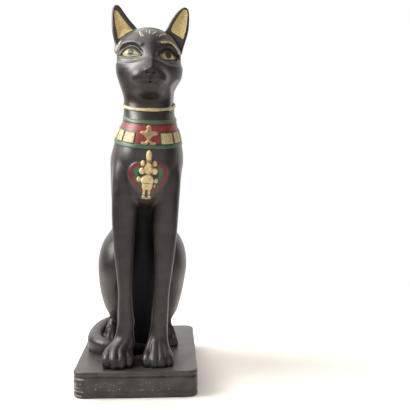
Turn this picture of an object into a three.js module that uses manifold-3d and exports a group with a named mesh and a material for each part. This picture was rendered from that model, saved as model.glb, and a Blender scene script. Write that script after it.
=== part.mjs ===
// A seated temple cat on a low plinth, cast in resin as one piece: the cat, its collar, choker, pendant and
// the rounded block under it are one solid. Millimetres, +Z up, the cat faces -Y, origin under the plinth.
import * as THREE from "three";
import { mergeVertices } from "three/addons/utils/BufferGeometryUtils.js";
import Module from "manifold-3d";

const { Vector3, MathUtils } = THREE;
const wasm = await Module();
wasm.setup();

// Driving dimensions of the plinth
const plinthWidth = 93;
const plinthDepth = 138;
const plinthHeight = 20;
const plinthCorner = 9;
const topRimHeight = 4.2;
const footRimHeight = 3.8;
const grooveWidth = 1.4;
const grooveDepth = 0.8;
const edgeRound = 0.9;

// Driving dimensions of the cat
const figureHeight = 281;
const figureTurn = 4.5;
const figureLean = 2.2;
const figureShift = -0.6;
const footSink = 2.5;

// Relief on the neck and chest
const chokerThickness = 2.5;
const chokerTilt = 12.8;
const chokerRoll = 2.2;
const collarTilt = 10.6;
const collarRoll = 0.9;
const collarHeight = 20;
const collarLift = 0.4;
const collarRim = 2.5;
const rimLift = 0.9;
const tilePitch = 11.8;
const tileGap = 1.4;
const tileTall = 8.2;
const tileLift = 1.4;
const motifLift = 2.1;
const heartBand = 3.8;
const heartLift = 0.6;
const reliefRoot = 1.8;
const collarRoot = 3;

// The forms of the cat are measured on a figure 281 units tall, and keep their shares of its height.
const unit = figureHeight / 281;
const midline = 0.8;
const down = -footSink / unit;

// A form is a function of a point that gives its distance to the form's skin, negative inside.
function ball([x, y, z], [rx, ry, rz], pitch = 0, roll = 0) {
  const turn = new THREE.Quaternion()
    .setFromEuler(new THREE.Euler(MathUtils.degToRad(pitch), MathUtils.degToRad(roll), 0))
    .invert();
  const centre = new Vector3(x, y, z);
  const radii = new Vector3(rx, ry, rz);
  const q = new Vector3();
  return (p) => {
    q.subVectors(p, centre).applyQuaternion(turn).divide(radii);
    const share = q.length();
    const slope = q.divide(radii).length();
    return slope < 1e-9 ? -Math.min(rx, ry, rz) : (share * (share - 1)) / slope;
  };
}

// A limb runs through stations [x, y, z, radius]; depth above 1 makes its section deeper than wide, and under
// below 1 lets its lower half reach further down.
function limb(stations, depth = 1, under = 1) {
  return (p) => {
    let best = Infinity;
    for (let i = 0; i + 1 < stations.length; i++) {
      const [ax, ay, az, ar] = stations[i];
      const [bx, by, bz, br] = stations[i + 1];
      const dx = bx - ax;
      const dy = (by - ay) / depth;
      const dz = bz - az;
      const px = p.x - ax;
      const py = (p.y - ay) / depth;
      const pz = p.z - az;
      const along = (px * dx + py * dy + pz * dz) / (dx * dx + dy * dy + dz * dz);
      const t = MathUtils.clamp(along, 0, 1);
      const rise = pz - dz * t;
      const gap = Math.hypot(px - dx * t, py - dy * t, rise < 0 ? rise * under : rise);
      best = Math.min(best, gap - (ar + (br - ar) * t));
    }
    return best;
  };
}

// The trunk is a stack of oval sections: height, middle, half width, front, widest line and back.
function trunk(sections, squareness) {
  const curve = (k) => {
    const points = sections.map((s) => new Vector3(s[0], s[k], 0));
    return (z) => {
      let i = 0;
      while (i < points.length - 2 && z > points[i + 1].x) i++;
      const a = points[Math.max(i - 1, 0)];
      const b = points[i];
      const c = points[i + 1];
      const d = points[Math.min(i + 2, points.length - 1)];
      const span = c.x - b.x;
      const t = MathUtils.clamp((z - b.x) / span, 0, 1);
      const in0 = ((c.y - a.y) / (c.x - a.x || span)) * span;
      const in1 = ((d.y - b.y) / (d.x - b.x || span)) * span;
      const t2 = t * t;
      const t3 = t2 * t;
      return b.y * (2 * t3 - 3 * t2 + 1) + in0 * (t3 - 2 * t2 + t) + c.y * (3 * t2 - 2 * t3) + in1 * (t3 - t2);
    };
  };
  const [middleLine, half, front, wide, back] = [1, 2, 3, 4, 5].map(curve);
  const low = sections[0][0];
  const high = sections[sections.length - 1][0];
  return (p) => {
    const z = MathUtils.clamp(p.z, low, high);
    const middle = wide(z);
    const depth = p.y < middle ? middle - front(z) : back(z) - middle;
    const u = Math.abs(p.x - middleLine(z)) / half(z);
    const v = Math.abs(p.y - middle) / depth;
    const share = Math.pow(Math.pow(u, squareness) + Math.pow(v, squareness), 1 / squareness);
    const slope = Math.hypot(u / half(z), v / depth);
    const side = slope < 1e-9 ? -half(z) : (share * (share - 1)) / slope;
    return Math.max(side, low - p.z, p.z - high);
  };
}

const smoothMin = (a, b, reach) => {
  const h = Math.max(reach - Math.abs(a - b), 0) / reach;
  return Math.min(a, b) - (h * h * reach) / 4;
};
const blended = (reach, ...forms) => (p) => forms.map((f) => f(p)).reduce((a, b) => smoothMin(a, b, reach));
const bothSides = (make) => [make(-1), make(1)];

// Distance along a ray from inside a form to its skin.
function reachTo(form, from, direction, longest) {
  const p = new Vector3();
  let near = 0;
  let far = longest;
  for (let i = 0; i < 22; i++) {
    const middle = (near + far) / 2;
    if (form(p.copy(from).addScaledVector(direction, middle)) < 0) near = middle;
    else far = middle;
  }
  return near;
}

// A closed solid through rings of points; open stacks get a fan at each end.
function loft(rings, closed = false) {
  const count = rings[0].length;
  const points = rings.flat();
  const index = [];
  const last = closed ? rings.length : rings.length - 1;
  for (let i = 0; i < last; i++)
    for (let j = 0; j < count; j++) {
      const a = i * count + j;
      const b = i * count + ((j + 1) % count);
      const c = ((i + 1) % rings.length) * count + j;
      const d = ((i + 1) % rings.length) * count + ((j + 1) % count);
      index.push(a, b, d, a, d, c);
    }
  if (!closed)
    [0, rings.length - 1].forEach((i) => {
      const middle = rings[i].reduce((sum, p) => sum.add(p), new Vector3()).divideScalar(count);
      points.push(middle);
      for (let j = 0; j < count; j++) {
        const a = i * count + j;
        const b = i * count + ((j + 1) % count);
        if (i === 0) index.push(points.length - 1, b, a);
        else index.push(points.length - 1, a, b);
      }
    });
  return new THREE.BufferGeometry().setFromPoints(points).setIndex(index);
}

// Any closed geometry as a solid with its faces pointing out.
function solid(geometry) {
  const bare = geometry.clone();
  bare.deleteAttribute("normal");
  bare.deleteAttribute("uv");
  const merged = mergeVertices(bare, 1e-4);
  const triVerts = new Uint32Array(merged.index.array);
  const make = () =>
    new wasm.Manifold(
      new wasm.Mesh({ numProp: 3, vertProperties: new Float32Array(merged.attributes.position.array), triVerts }),
    );
  const made = make();
  if (made.volume() > 0) return made;
  for (let i = 0; i < triVerts.length; i += 3)
    [triVerts[i + 1], triVerts[i + 2]] = [triVerts[i + 2], triVerts[i + 1]];
  return make();
}
const joined = (parts) => parts.reduce((a, b) => a.add(b));

// Rings of a form's skin along a path of [x, y, z] stations, each ring square to the path.
function skinAlong(path, around, form, longest) {
  const curve = new THREE.CatmullRomCurve3(path.map((p) => new Vector3(...p)));
  return (steps) => {
    const rings = [];
    for (let i = 0; i <= steps; i++) {
      const centre = curve.getPoint(i / steps);
      const ahead = curve.getTangent(i / steps);
      const side = new Vector3(0, 1, 0).cross(ahead).normalize();
      if (Math.abs(ahead.y) > 0.95) side.set(1, 0, 0);
      const up = new Vector3().crossVectors(ahead, side).normalize();
      rings.push(
        Array.from({ length: around }, (_, j) => {
          const a = (j / around) * 2 * Math.PI;
          const way = side.clone().multiplyScalar(Math.cos(a)).addScaledVector(up, Math.sin(a));
          return centre.clone().addScaledVector(way, reachTo(form, centre, way, longest));
        }),
      );
    }
    return loft(rings);
  };
}

// A round geometry, its poles front and back, whose vertices are drawn out from a centre to a form's skin.
function skinAround([x, y, z], form, around, over, longest) {
  const geometry = new THREE.SphereGeometry(1, around, over);
  const centre = new Vector3(x, y, z);
  const place = geometry.attributes.position;
  const way = new Vector3();
  for (let i = 0; i < place.count; i++) {
    way.fromBufferAttribute(place, i).normalize();
    const reach = reachTo(form, centre, way, longest);
    place.setXYZ(i, x + way.x * reach, y + way.y * reach, z + way.z * reach);
  }
  return geometry;
}

// Trunk: chest, back and haunches down to the plinth
const body = trunk(
  [
    [down, midline, 20, -4, 24, 52],
    [12, midline, 22, -7, 24, 56],
    [30, midline, 23, -11, 22, 58],
    [50, midline, 23.5, -15, 19, 57],
    [70, midline, 24, -19, 15, 53.5],
    [90, midline - 0.4, 24.5, -25, 9, 48],
    [104, midline - 1, 24.3, -27, 4, 44],
    [116, midline - 0.9, 24.6, -33, 1, 40.5],
    [124, midline - 0.7, 25, -43, -0.6, 38.6],
    [131, midline - 0.3, 25.6, -48, -2, 36.4],
    [145, midline, 27.3, -50.8, -6, 32],
    [156, midline + 0.4, 28.6, -51, -9, 28],
    [166, midline + 1, 27, -49.6, -11, 24],
    [176, midline + 1.1, 24.4, -46.6, -12, 20],
    [186, midline + 1.5, 21.1, -42.4, -12, 16],
    [195, midline + 0.5, 20.3, -37.6, -12, 12.8],
    [204, midline + 0.5, 20.2, -33, -12, 10.6],
    [214, midline + 0.4, 19.9, -30, -12, 9.4],
    [226, midline, 19.5, -28, -12, 9],
  ],
  2.15,
);
const haunches = [
  blended(
    9,
    ball([midline - 20.5, 15, 67], [16.6, 33, 30]),
    ball([midline - 19, 18, 43.5], [14.2, 26, 23.5]),
  ),
  blended(
    9,
    ball([midline + 20.8, 15, 68.5], [16.8, 33, 30.5]),
    ball([midline + 19.2, 18, 41.5], [14.4, 26, 24]),
  ),
];
const shoulder = (s) => ball([midline - 0.6 + s * 14.8, -14, 140], [11.4, 25, 44], -6);
const blades = (s) => ball([midline + s * 12, 12, 168], [9, 12, 22], 26);
const torsoForm = blended(7, body, ...haunches, ...bothSides(shoulder), ...bothSides(blades));
const bodyPath = [
  [midline, 18, down + 0.1],
  [midline, 16, 60],
  [midline, 4, 105],
  [midline, -6, 150],
  [midline, -11, 190],
  [midline, -11, 224],
];

// Forelegs: straight, with a knuckled wrist and a broad four-toed paw
const forelegs = [
  [
    [midline - 15.7, -20.8, 146, 11.5],
    [midline - 16.6, -31, 120, 10.4],
    [midline - 16.8, -35.1, 100, 8.8],
    [midline - 16.1, -36.6, 80, 7.3],
    [midline - 14.6, -38, 56, 5.6],
    [midline - 13.7, -38.1, 38, 6],
    [midline - 13.4, -38.9, 22, 6.2],
    [midline - 15.4, -42, 12, 7.8],
  ],
  [
    [midline + 14.9, -20.8, 146, 11.5],
    [midline + 15.2, -31, 120, 10.4],
    [midline + 15, -34.4, 100, 9.4],
    [midline + 15, -36, 80, 7.8],
    [midline + 14.1, -37.4, 56, 6.1],
    [midline + 13.2, -37.5, 38, 6.5],
    [midline + 12.8, -38.2, 22, 6.8],
    [midline + 12.4, -42, 12, 7.8],
  ],
];
const pawMiddle = (s) => midline - 3.3 + s * 15;
const forepaw = (s) =>
  blended(
    5,
    limb([
      [midline - 1 + s * 13, -39, 17, 7.2],
      [pawMiddle(s), -49, 7.5, 9],
    ]),
    ball([pawMiddle(s), -50, 4.5], [10.6, 10.5, 8.5]),
  );

// Hind feet: laid flat beside the forelegs, toes forward
const hindMiddle = (s) => midline - 0.45 + s * 24.25;
const hindFoot = (s) =>
  blended(
    5,
    limb([
      [midline + s * 21.4, 26, 7, 7.2],
      [hindMiddle(s), 6, 6, 6.4],
    ]),
    ball([hindMiddle(s), 3, 4.5], [6.8, 8.6, 6.6]),
  );
const instep = (s) => [
  [midline + s * 20.6, 17, 26, 3.4],
  [hindMiddle(s) - s * 1.6, 9.5, 20, 3.6],
  [hindMiddle(s) - s * 0.6, 3.6, 11.5, 4.4],
];

// Toes fan out over the front of a paw
function toes(middle, front, spread, size, s) {
  return [-1.5, -0.5, 0.5, 1.5].map((k) => {
    const setBack = Math.abs(k) > 1 ? size * 0.55 : 0;
    const form = ball([middle + k * spread + s * 0.3, front + size * 1.35 + setBack, size * 0.86], [
      size * 0.72,
      size * 1.35,
      size,
    ]);
    return solid(skinAround([middle + k * spread + s * 0.3, front + size * 1.35 + setBack, size * 0.86], form, 6, 4, 12));
  });
}

// The tail comes from the rump, round the cat's right side and in behind the near foreleg
const tailStations = [
  [2, 54, 9, 7.4],
  [-12.5, 54, 7.6, 7.2],
  [-23.4, 47, 7, 7],
  [-30.8, 35, 6.6, 6.8],
  [-35, 19, 6.4, 6.6],
  [-36.6, 3, 6.2, 6.5],
  [-35.4, -11, 6, 6.2],
  [-27.5, -21.4, 5.8, 5.9],
  [-17, -24.5, 5.2, 5.3],
  [-7, -23.8, 4.6, 4.7],
  [1, -21.6, 4, 4],
];
const tailPath = [...tailStations, [4.9, -20.6, 4]];

// Head: skull and cheeks, then the muzzle, then the broad bridge of the nose, drawn as one skin
const along = (points) => (z) => {
  let i = 0;
  while (i < points.length - 2 && z > points[i + 1][0]) i++;
  const [a, b] = [points[i], points[i + 1]];
  return MathUtils.lerp(a[1], b[1], MathUtils.clamp((z - a[0]) / (b[0] - a[0]), 0, 1));
};
const headMiddle = [0.2, -20, 231];
const skull = blended(
  5,
  ball([-0.1, -12.5, 236.4], [25.7, 26.2, 25.4]),
  ball([-10.6, -16.2, 226.8], [12.6, 18.6, 12.8]),
  ball([11.6, -16.2, 226.8], [12.2, 18.6, 12.8]),
  ball([-12.9, -21.3, 227.2], [11, 11, 11]),
  ball([13.4, -21.3, 227.2], [10.6, 11, 11]),
  ball([0.3, -21, 218.4], [17.4, 19, 12.6]),
);
const snout = blended(
  5,
  limb([
    [0.2, -18, 226, 17.6],
    [0, -30, 222.6, 13.6],
    [-0.2, -38, 220, 10.4],
  ]),
  ball([-0.5, -38.6, 219.4], [13.8, 12.8, 9.4]),
  ball([-6.2, -43.6, 218.6], [7, 7.8, 5.8]),
  ball([5.6, -43.6, 218.8], [7, 7.8, 5.8]),
  ball([-0.2, -36.4, 212.4], [9.4, 8.4, 4.6]),
);
const ridge = along([
  [217, -48],
  [222, -51.6],
  [226, -51.2],
  [231, -48],
  [237, -44],
  [242, -40.3],
  [246, -37],
  [250, -32.6],
  [258, -22],
]);
const bridge = (p) => {
  const aside = p.x - 1.2;
  const flank = (aside < 0 ? 0.66 : 0.92) * (Math.sqrt(aside * aside + 0.5) - 0.7);
  const fall = 0.16 * Math.max(Math.abs(aside) - 4.5, 0) ** 2;
  return Math.max((ridge(p.z) + flank + fall - p.y) / 1.3, 222.5 - p.z, p.z - 256, p.y + 22);
};
const headForm = blended(4, skull, snout, bridge);

// A flat outline laid over a curved place, raised by its lift and rooted under the skin
function laidOver(shape, place, lift, curveSegments = 6) {
  const geometry = new THREE.ExtrudeGeometry(shape, { depth: 1, bevelEnabled: false, curveSegments });
  const spot = geometry.attributes.position;
  for (let i = 0; i < spot.count; i++) {
    const p = place(spot.getX(i), spot.getY(i), (spot.getZ(i) > 0.5 ? lift : -reliefRoot) / unit);
    spot.setXYZ(i, p.x, p.y, p.z);
  }
  return solid(geometry);
}
const shapeThrough = (points, count) =>
  new THREE.Shape(new THREE.SplineCurve(points.map(([x, z]) => new THREE.Vector2(x, z))).getPoints(count));
const closedShape = (points, count) => shapeThrough([...points, points[0]], count);

// Ears: tall plates that thin towards their tips, with a shallow cup facing forward
const earOutlines = [
  [[-26.5, 241], [-27.8, 248.5], [-30.2, 258.5], [-30.9, 268.1], [-30.8, 275.4], [-29.8, 279], [-27.3, 280.5],
    [-24.5, 279.1], [-20.8, 274.3], [-16.1, 268.2], [-10.9, 262.4], [-7, 254], [-14, 244]],
  [[25, 242.5], [28.2, 250.5], [31, 260.7], [31.9, 268.9], [31.8, 276.8], [30.8, 280.6], [28.2, 282.2],
    [25, 280.9], [20.8, 276.4], [17, 270.4], [13.2, 262.7], [9, 254], [15, 244]],
];
const cupOutlines = [
  [[-28.9, 274], [-28, 275.5], [-26.5, 274.9], [-25, 273], [-20.6, 267.4], [-14.7, 260.7], [-15.2, 258.9],
    [-19, 256.8], [-23.9, 252.8], [-25.2, 252.2], [-26.3, 256.5], [-28.3, 266]],
  [[25.9, 278.6], [27.3, 280], [29.2, 279.8], [30.3, 277.4], [30.2, 272.8], [29.3, 264.9], [27.3, 256],
    [26.4, 255.2], [24.2, 256.5], [20, 259], [16.9, 261.9], [19.3, 268.2], [23.1, 275]],
];
const earThick = along([
  [244, 8.5],
  [258, 6.4],
  [268, 4.8],
  [276, 3.6],
  [282, 2.8],
]);
const earFront = (z) => -5 + (z - 244) * 0.08 - earThick(z) * 0.9;
function plate(points, front, back) {
  const geometry = new THREE.ExtrudeGeometry(closedShape(points, 34), { depth: 1, bevelEnabled: false });
  const spot = geometry.attributes.position;
  for (let i = 0; i < spot.count; i++) {
    const z = spot.getY(i);
    spot.setXYZ(i, spot.getX(i), spot.getZ(i) > 0.5 ? back(z) : front(z), z);
  }
  return solid(geometry);
}
const ear = (k) =>
  plate(earOutlines[k], earFront, (z) => earFront(z) + earThick(z) * 1.6).subtract(
    plate(cupOutlines[k], () => -40, (z) => earFront(z) + 1.2),
  );

// Small carving of the face, laid on its skin straight ahead
const onFace = (x, z, lift) => {
  const from = new Vector3(x, -14, z);
  const ahead = new Vector3(0, -1, 0);
  return from.addScaledVector(ahead, reachTo(headForm, from, ahead, 60) + lift);
};
const eyeOutlines = [
  [[-22.4, 238], [-19, 240.9], [-16.8, 241.8], [-14.2, 241.6], [-12, 240.5], [-8, 235.9], [-14.8, 234.8], [-18.4, 235.4]],
  [[7.2, 236.3], [10.6, 239.4], [13.2, 240.7], [15.6, 240.4], [18.2, 238.6], [20.7, 236], [15.1, 234.2], [10.8, 233.9]],
];
const browLines = [
  [[-23.4, 245, 1], [-20.1, 246.6, 1.5], [-16.4, 246.9, 1.7], [-12.1, 246.6, 1.7], [-7.8, 244.6, 1]],
  [[7.4, 245.6, 1], [10.4, 247.2, 1.5], [14, 247.7, 1.7], [19.8, 244.9, 1.6], [22.6, 241.6, 1]],
];
const eye = (k) => laidOver(closedShape(eyeOutlines[k], 20), onFace, 0.9);
const brow = (k) => {
  const stations = browLines[k].map(([x, z, radius]) => [...onFace(x, z, -0.5).toArray(), radius]);
  return solid(skinAlong(stations.map((row) => row.slice(0, 3)), 6, limb(stations), 4)(6));
};
const noseTip = [-0.1, -50.6, 222.4];
const nose = solid(skinAround(noseTip, ball(noseTip, [4.5, 3, 2.8]), 10, 6, 8));

// A band on the neck lies in a tilted plane; angle 0 is the front, height runs up the plane's normal.
function neckPlane(tilt, roll, z) {
  const a = MathUtils.degToRad(tilt);
  const climb = Math.tan(MathUtils.degToRad(roll));
  const up = new Vector3(0, -Math.sin(a), Math.cos(a));
  return (angle, height, lift) => {
    const fall = -Math.cos(angle) * Math.sin(a) + Math.sin(angle) * climb;
    const way = new Vector3(Math.sin(angle), -Math.cos(angle) * Math.cos(a), fall).normalize();
    const axis = new Vector3(midline, -13, z).addScaledVector(up, height);
    return axis.clone().addScaledVector(way, reachTo(torsoForm, axis, way, 60) + lift);
  };
}
const onCollar = neckPlane(collarTilt, collarRoll, 181.6);
const onChoker = neckPlane(chokerTilt, chokerRoll, 200.3);
const ringStep = (count) => Array.from({ length: count }, (_, j) => (j / count) * 2 * Math.PI);

// A ring round the neck from its section, a list of [height, lift]
const neckRing = (place, section, count) =>
  solid(loft(ringStep(count).map((angle) => section.map(([h, lift]) => place(angle, h / unit, lift / unit))), true));

const chokerSection = Array.from({ length: 5 }, (_, k) => {
  const a = (k / 5) * 2 * Math.PI;
  return [(chokerThickness / 2) * Math.cos(a), (chokerThickness / 2) * (Math.sin(a) + 0.1)];
});
const halfCollar = collarHeight / 2;
const collarSection = [
  [-halfCollar, -collarRoot],
  [-halfCollar, rimLift],
  [-halfCollar + collarRim * 1.2, rimLift],
  [-halfCollar + collarRim * 1.2, collarLift],
  [halfCollar - collarRim, collarLift],
  [halfCollar - collarRim, rimLift],
  [halfCollar, rimLift],
  [halfCollar, -collarRoot],
];

// Arc length round the collar, so that tiles keep one size and spacing
const arcAt = (() => {
  const count = 240;
  const stops = [0];
  for (let i = 1; i <= count; i++) {
    const a = onCollar(((i - 1) / count) * 2 * Math.PI, 0, 0);
    const b = onCollar((i / count) * 2 * Math.PI, 0, 0);
    stops.push(stops[i - 1] + a.distanceTo(b));
  }
  const length = stops[count];
  return {
    length,
    angle: (arc) => {
      const turned = ((arc % length) + length) % length;
      const i = Math.min(stops.findIndex((s, k) => k && s >= turned), count);
      const share = (turned - stops[i - 1]) / (stops[i] - stops[i - 1]);
      return ((i - 1 + share) / count) * 2 * Math.PI;
    },
  };
})();
const onCollarArc = (arc, height, lift) => onCollar(arcAt.angle(arc), height, lift);

// Gold tiles round the collar, with the motif's square left free at the front
const tileRow = -2.8;
const squareLeft = 10.1;
const squareRight = 7.6;
function tiles() {
  const tiled = arcAt.length - (squareLeft + squareRight) / unit;
  const places = Math.round((tiled * unit) / tilePitch);
  const pitch = tiled / places;
  const wide = (pitch - tileGap / unit) / 2;
  const tall = tileTall / unit / 2;
  const made = [];
  for (let i = 0; i < places; i++) {
    const middle = squareRight / unit + (i + 0.5) * pitch;
    const outline = new THREE.Shape();
    outline.moveTo(middle - wide, tileRow - tall);
    outline.lineTo(middle, tileRow - tall);
    outline.lineTo(middle + wide, tileRow - tall);
    outline.lineTo(middle + wide, tileRow + tall);
    outline.lineTo(middle, tileRow + tall);
    outline.lineTo(middle - wide, tileRow + tall);
    made.push(laidOver(outline, onCollarArc, tileLift));
  }
  return made;
}

// The motif at the front: a small upright figure of lobes with spread arms and two feet
function motif() {
  const outline = new THREE.Shape();
  outline.moveTo(-1.6, -2.4);
  outline.lineTo(-2.2, -4.2);
  outline.lineTo(-4.6, -4.6);
  outline.lineTo(-4.2, -6.6);
  outline.lineTo(4.4, -6.6);
  outline.lineTo(4.8, -4.6);
  outline.lineTo(2.4, -4.2);
  outline.lineTo(1.8, -2.4);
  outline.quadraticCurveTo(3.6, -0.4, 4.4, 0.6);
  outline.quadraticCurveTo(7.2, 0.6, 7, 3.4);
  outline.quadraticCurveTo(4.6, 4.4, 2.6, 4.4);
  outline.quadraticCurveTo(2.6, 7.4, 0.2, 7.6);
  outline.quadraticCurveTo(-2.2, 7.4, -2.2, 4.4);
  outline.quadraticCurveTo(-4.4, 4.4, -6.4, 3.6);
  outline.quadraticCurveTo(-6.8, 0.8, -4, 0.6);
  outline.quadraticCurveTo(-3.2, -0.4, -1.6, -2.4);
  return laidOver(outline, (x, z, lift) => onCollarArc(x - 0.5, z - 0.6, lift), motifLift, 3);
}

// Chest relief lies straight ahead of the chest, in the figure's own x and z
const onChest = (x, z, lift) => {
  const from = new Vector3(x, -10, z);
  const ahead = new Vector3(0, -1, 0);
  const reach = reachTo(torsoForm, from, ahead, 60);
  return from.addScaledVector(ahead, reach + lift);
};
const heartMiddle = 1;
function heartOutline(inset, asHole) {
  const outline = asHole ? new THREE.Path() : new THREE.Shape();
  const half = 15.4 - inset;
  const top = 155.4 - inset;
  const dip = 150.4 - inset;
  const tip = 126.2 + inset * 1.5;
  outline.moveTo(heartMiddle, dip);
  outline.bezierCurveTo(heartMiddle - half * 0.22, top + 0.6, heartMiddle - half, top + 1.4, heartMiddle - half, 145.6);
  outline.bezierCurveTo(heartMiddle - half, 138, heartMiddle - half * 0.42, 132.6, heartMiddle, tip);
  outline.bezierCurveTo(heartMiddle + half * 0.42, 132.6, heartMiddle + half, 138, heartMiddle + half, 145.6);
  outline.bezierCurveTo(heartMiddle + half, top + 1.4, heartMiddle + half * 0.22, top + 0.6, heartMiddle, dip);
  return outline;
}
function heart() {
  const shape = heartOutline(0, false);
  shape.holes.push(heartOutline(heartBand / unit, true));
  return laidOver(shape, onChest, heartLift, 5);
}

// The standing figure in the heart: tall crown, crossed arms, kilt, legs together on a base
function pendantFigure() {
  const at = (x, z, radii, around = 6, over = 4) => {
    const spot = onChest(heartMiddle + x, z, 0).toArray();
    return solid(skinAround(spot, ball(spot, radii), around, over, 20));
  };
  return [
    at(0, 160.2, [2.4, 2.4, 3.6]),
    at(0, 155.8, [2.5, 2.6, 2.6]),
    at(0, 151.2, [5.6, 2.3, 2.9]),
    at(0, 147, [4.6, 2.6, 4.6]),
    at(0, 141.6, [5.4, 2.6, 3.8]),
    at(0, 137, [4.3, 2.3, 3.6]),
    ...bothSides((s) => at(s * 6.6, 141.6, [2.3, 1.7, 2.2])),
    ...bothSides((s) => at(s * 1.9, 132.4, [1.7, 2, 4.4])),
    ...bothSides((s) => at(s * 2.2, 128.2, [1.8, 2.2, 1.4])),
  ];
}

// The plinth: a rounded block with a raised rim at its top and foot and a groove inside each
function plinth() {
  const levels = [
    [0, edgeRound],
    [edgeRound, 0],
    [footRimHeight, 0],
    [footRimHeight, grooveDepth],
    [footRimHeight + grooveWidth, grooveDepth],
    [footRimHeight + grooveWidth, 0],
    [plinthHeight - topRimHeight - grooveWidth, 0],
    [plinthHeight - topRimHeight - grooveWidth, grooveDepth],
    [plinthHeight - topRimHeight, grooveDepth],
    [plinthHeight - topRimHeight, 0],
    [plinthHeight - edgeRound, 0],
    [plinthHeight, edgeRound],
  ];
  const perCorner = 4;
  return solid(
    loft(
      levels.map(([z, inset]) => {
        const ring = [];
        for (let quarter = 0; quarter < 4; quarter++)
          for (let k = 0; k <= perCorner; k++) {
            const a = ((quarter + k / perCorner) * Math.PI) / 2;
            const right = quarter === 0 || quarter === 3 ? 1 : -1;
            const rear = quarter < 2 ? 1 : -1;
            const x = right * (plinthWidth / 2 - plinthCorner) + (plinthCorner - inset) * Math.cos(a);
            const y = rear * (plinthDepth / 2 - plinthCorner) + (plinthCorner - inset) * Math.sin(a);
            ring.push(new Vector3(x, y, z));
          }
        return ring;
      }),
    ),
  );
}

const cat = joined([
  solid(skinAlong(bodyPath, 28, torsoForm, 90)(31)),
  solid(skinAround(headMiddle, headForm, 28, 24, 60)),
  ...[0, 1].map(ear),
  ...[0, 1].map(eye),
  ...[0, 1].map(brow),
  nose,
  ...forelegs.map((leg) => solid(skinAlong(leg, 10, limb(leg, 1.15), 20)(11))),
  ...bothSides((s) => solid(skinAround([pawMiddle(s), -48, 6], forepaw(s), 12, 8, 24))),
  ...bothSides((s) => joined(toes(pawMiddle(s), -62, 5.2, 4.9, s))),
  ...bothSides((s) => solid(skinAround([hindMiddle(s), 8, 5], hindFoot(s), 10, 7, 40))),
  ...bothSides((s) => solid(skinAlong(instep(s), 6, limb(instep(s)), 8)(4))),
  ...bothSides((s) => joined(toes(hindMiddle(s), -7.4, 3.2, 3.3, s))),
  solid(skinAlong(tailPath, 8, limb(tailStations, 1, 0.5), 16)(19)),
  neckRing(onChoker, chokerSection, 24),
  neckRing(onCollar, collarSection, 28),
  ...tiles(),
  motif(),
  heart(),
  ...pendantFigure(),
]);

// The cat leans and turns a little on its plinth, and is sunk into its top.
const placed = new THREE.Matrix4()
  .makeTranslation(figureShift, 0, plinthHeight)
  .multiply(new THREE.Matrix4().makeRotationZ(MathUtils.degToRad(figureTurn)))
  .multiply(new THREE.Matrix4().makeRotationY(MathUtils.degToRad(figureLean)))
  .multiply(new THREE.Matrix4().makeScale(unit, unit, unit));

function geometryOf(made) {
  const { vertProperties, triVerts } = made.getMesh();
  return new THREE.BufferGeometry()
    .setAttribute("position", new THREE.BufferAttribute(new Float32Array(vertProperties), 3))
    .setIndex(new THREE.BufferAttribute(new Uint32Array(triVerts), 1));
}
const aboveFloor = solid(new THREE.BoxGeometry(plinthWidth * 4, plinthDepth * 4, figureHeight * 3)
  .translate(0, 0, figureHeight * 1.5 + plinthHeight / 2));
const standing = solid(geometryOf(cat).applyMatrix4(placed)).intersect(aboveFloor);

const casting = new THREE.Mesh(
  geometryOf(plinth().add(standing)),
  new THREE.MeshStandardMaterial({ color: 0x2a2523, roughness: 0.55, metalness: 0 }),
);
casting.geometry.computeVertexNormals();
casting.name = "bastet_cat_figure";

const figure = new THREE.Group();
figure.add(casting);
export default figure;
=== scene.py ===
# A seated temple cat on a low plinth, cast in dark resin and hand painted: gilt ears, choker and pendant,
# and a collar in red, green and gold. Everything is one casting and stands on a plain white floor.
import math

import bpy
import numpy as np
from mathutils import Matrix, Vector


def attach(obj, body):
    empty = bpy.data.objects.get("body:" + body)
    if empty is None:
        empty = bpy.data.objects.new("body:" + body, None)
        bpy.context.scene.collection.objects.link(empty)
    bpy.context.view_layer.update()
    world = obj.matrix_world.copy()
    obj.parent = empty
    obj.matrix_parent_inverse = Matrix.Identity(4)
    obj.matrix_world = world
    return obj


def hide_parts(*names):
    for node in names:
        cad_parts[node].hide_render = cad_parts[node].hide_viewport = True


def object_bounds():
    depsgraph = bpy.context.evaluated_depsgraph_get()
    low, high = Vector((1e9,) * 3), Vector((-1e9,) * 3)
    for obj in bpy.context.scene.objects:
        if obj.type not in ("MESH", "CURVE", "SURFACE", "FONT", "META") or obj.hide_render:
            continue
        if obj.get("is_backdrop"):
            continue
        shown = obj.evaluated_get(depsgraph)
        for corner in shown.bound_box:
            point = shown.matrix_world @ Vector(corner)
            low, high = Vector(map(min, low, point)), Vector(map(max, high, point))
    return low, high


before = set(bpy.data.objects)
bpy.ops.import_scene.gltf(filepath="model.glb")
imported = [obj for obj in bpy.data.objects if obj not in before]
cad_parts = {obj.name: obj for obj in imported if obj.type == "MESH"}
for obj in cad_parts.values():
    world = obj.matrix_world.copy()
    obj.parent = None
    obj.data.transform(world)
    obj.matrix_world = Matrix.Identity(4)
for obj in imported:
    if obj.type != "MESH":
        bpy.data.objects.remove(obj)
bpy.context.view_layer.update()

# Forms. A form takes points in millimetres and gives their distance to its skin, negative inside. The cat is
# measured in its own frame: z up from the plinth's top, facing -y. It is then turned and leans a little.
MID = 0.8
TURN = math.radians(4.5)
LEAN = math.radians(2.2)
SET = np.array(
    [
        [math.cos(TURN) * math.cos(LEAN), -math.sin(TURN), math.cos(TURN) * math.sin(LEAN)],
        [math.sin(TURN) * math.cos(LEAN), math.cos(TURN), math.sin(TURN) * math.sin(LEAN)],
        [-math.sin(LEAN), 0.0, math.cos(LEAN)],
    ]
)
FOOT = np.array([-0.6, 0.0, 20.0])


def placed(points):
    return points @ SET.T + FOOT


def length(v):
    return np.sqrt((v * v).sum(axis=1))


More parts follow.
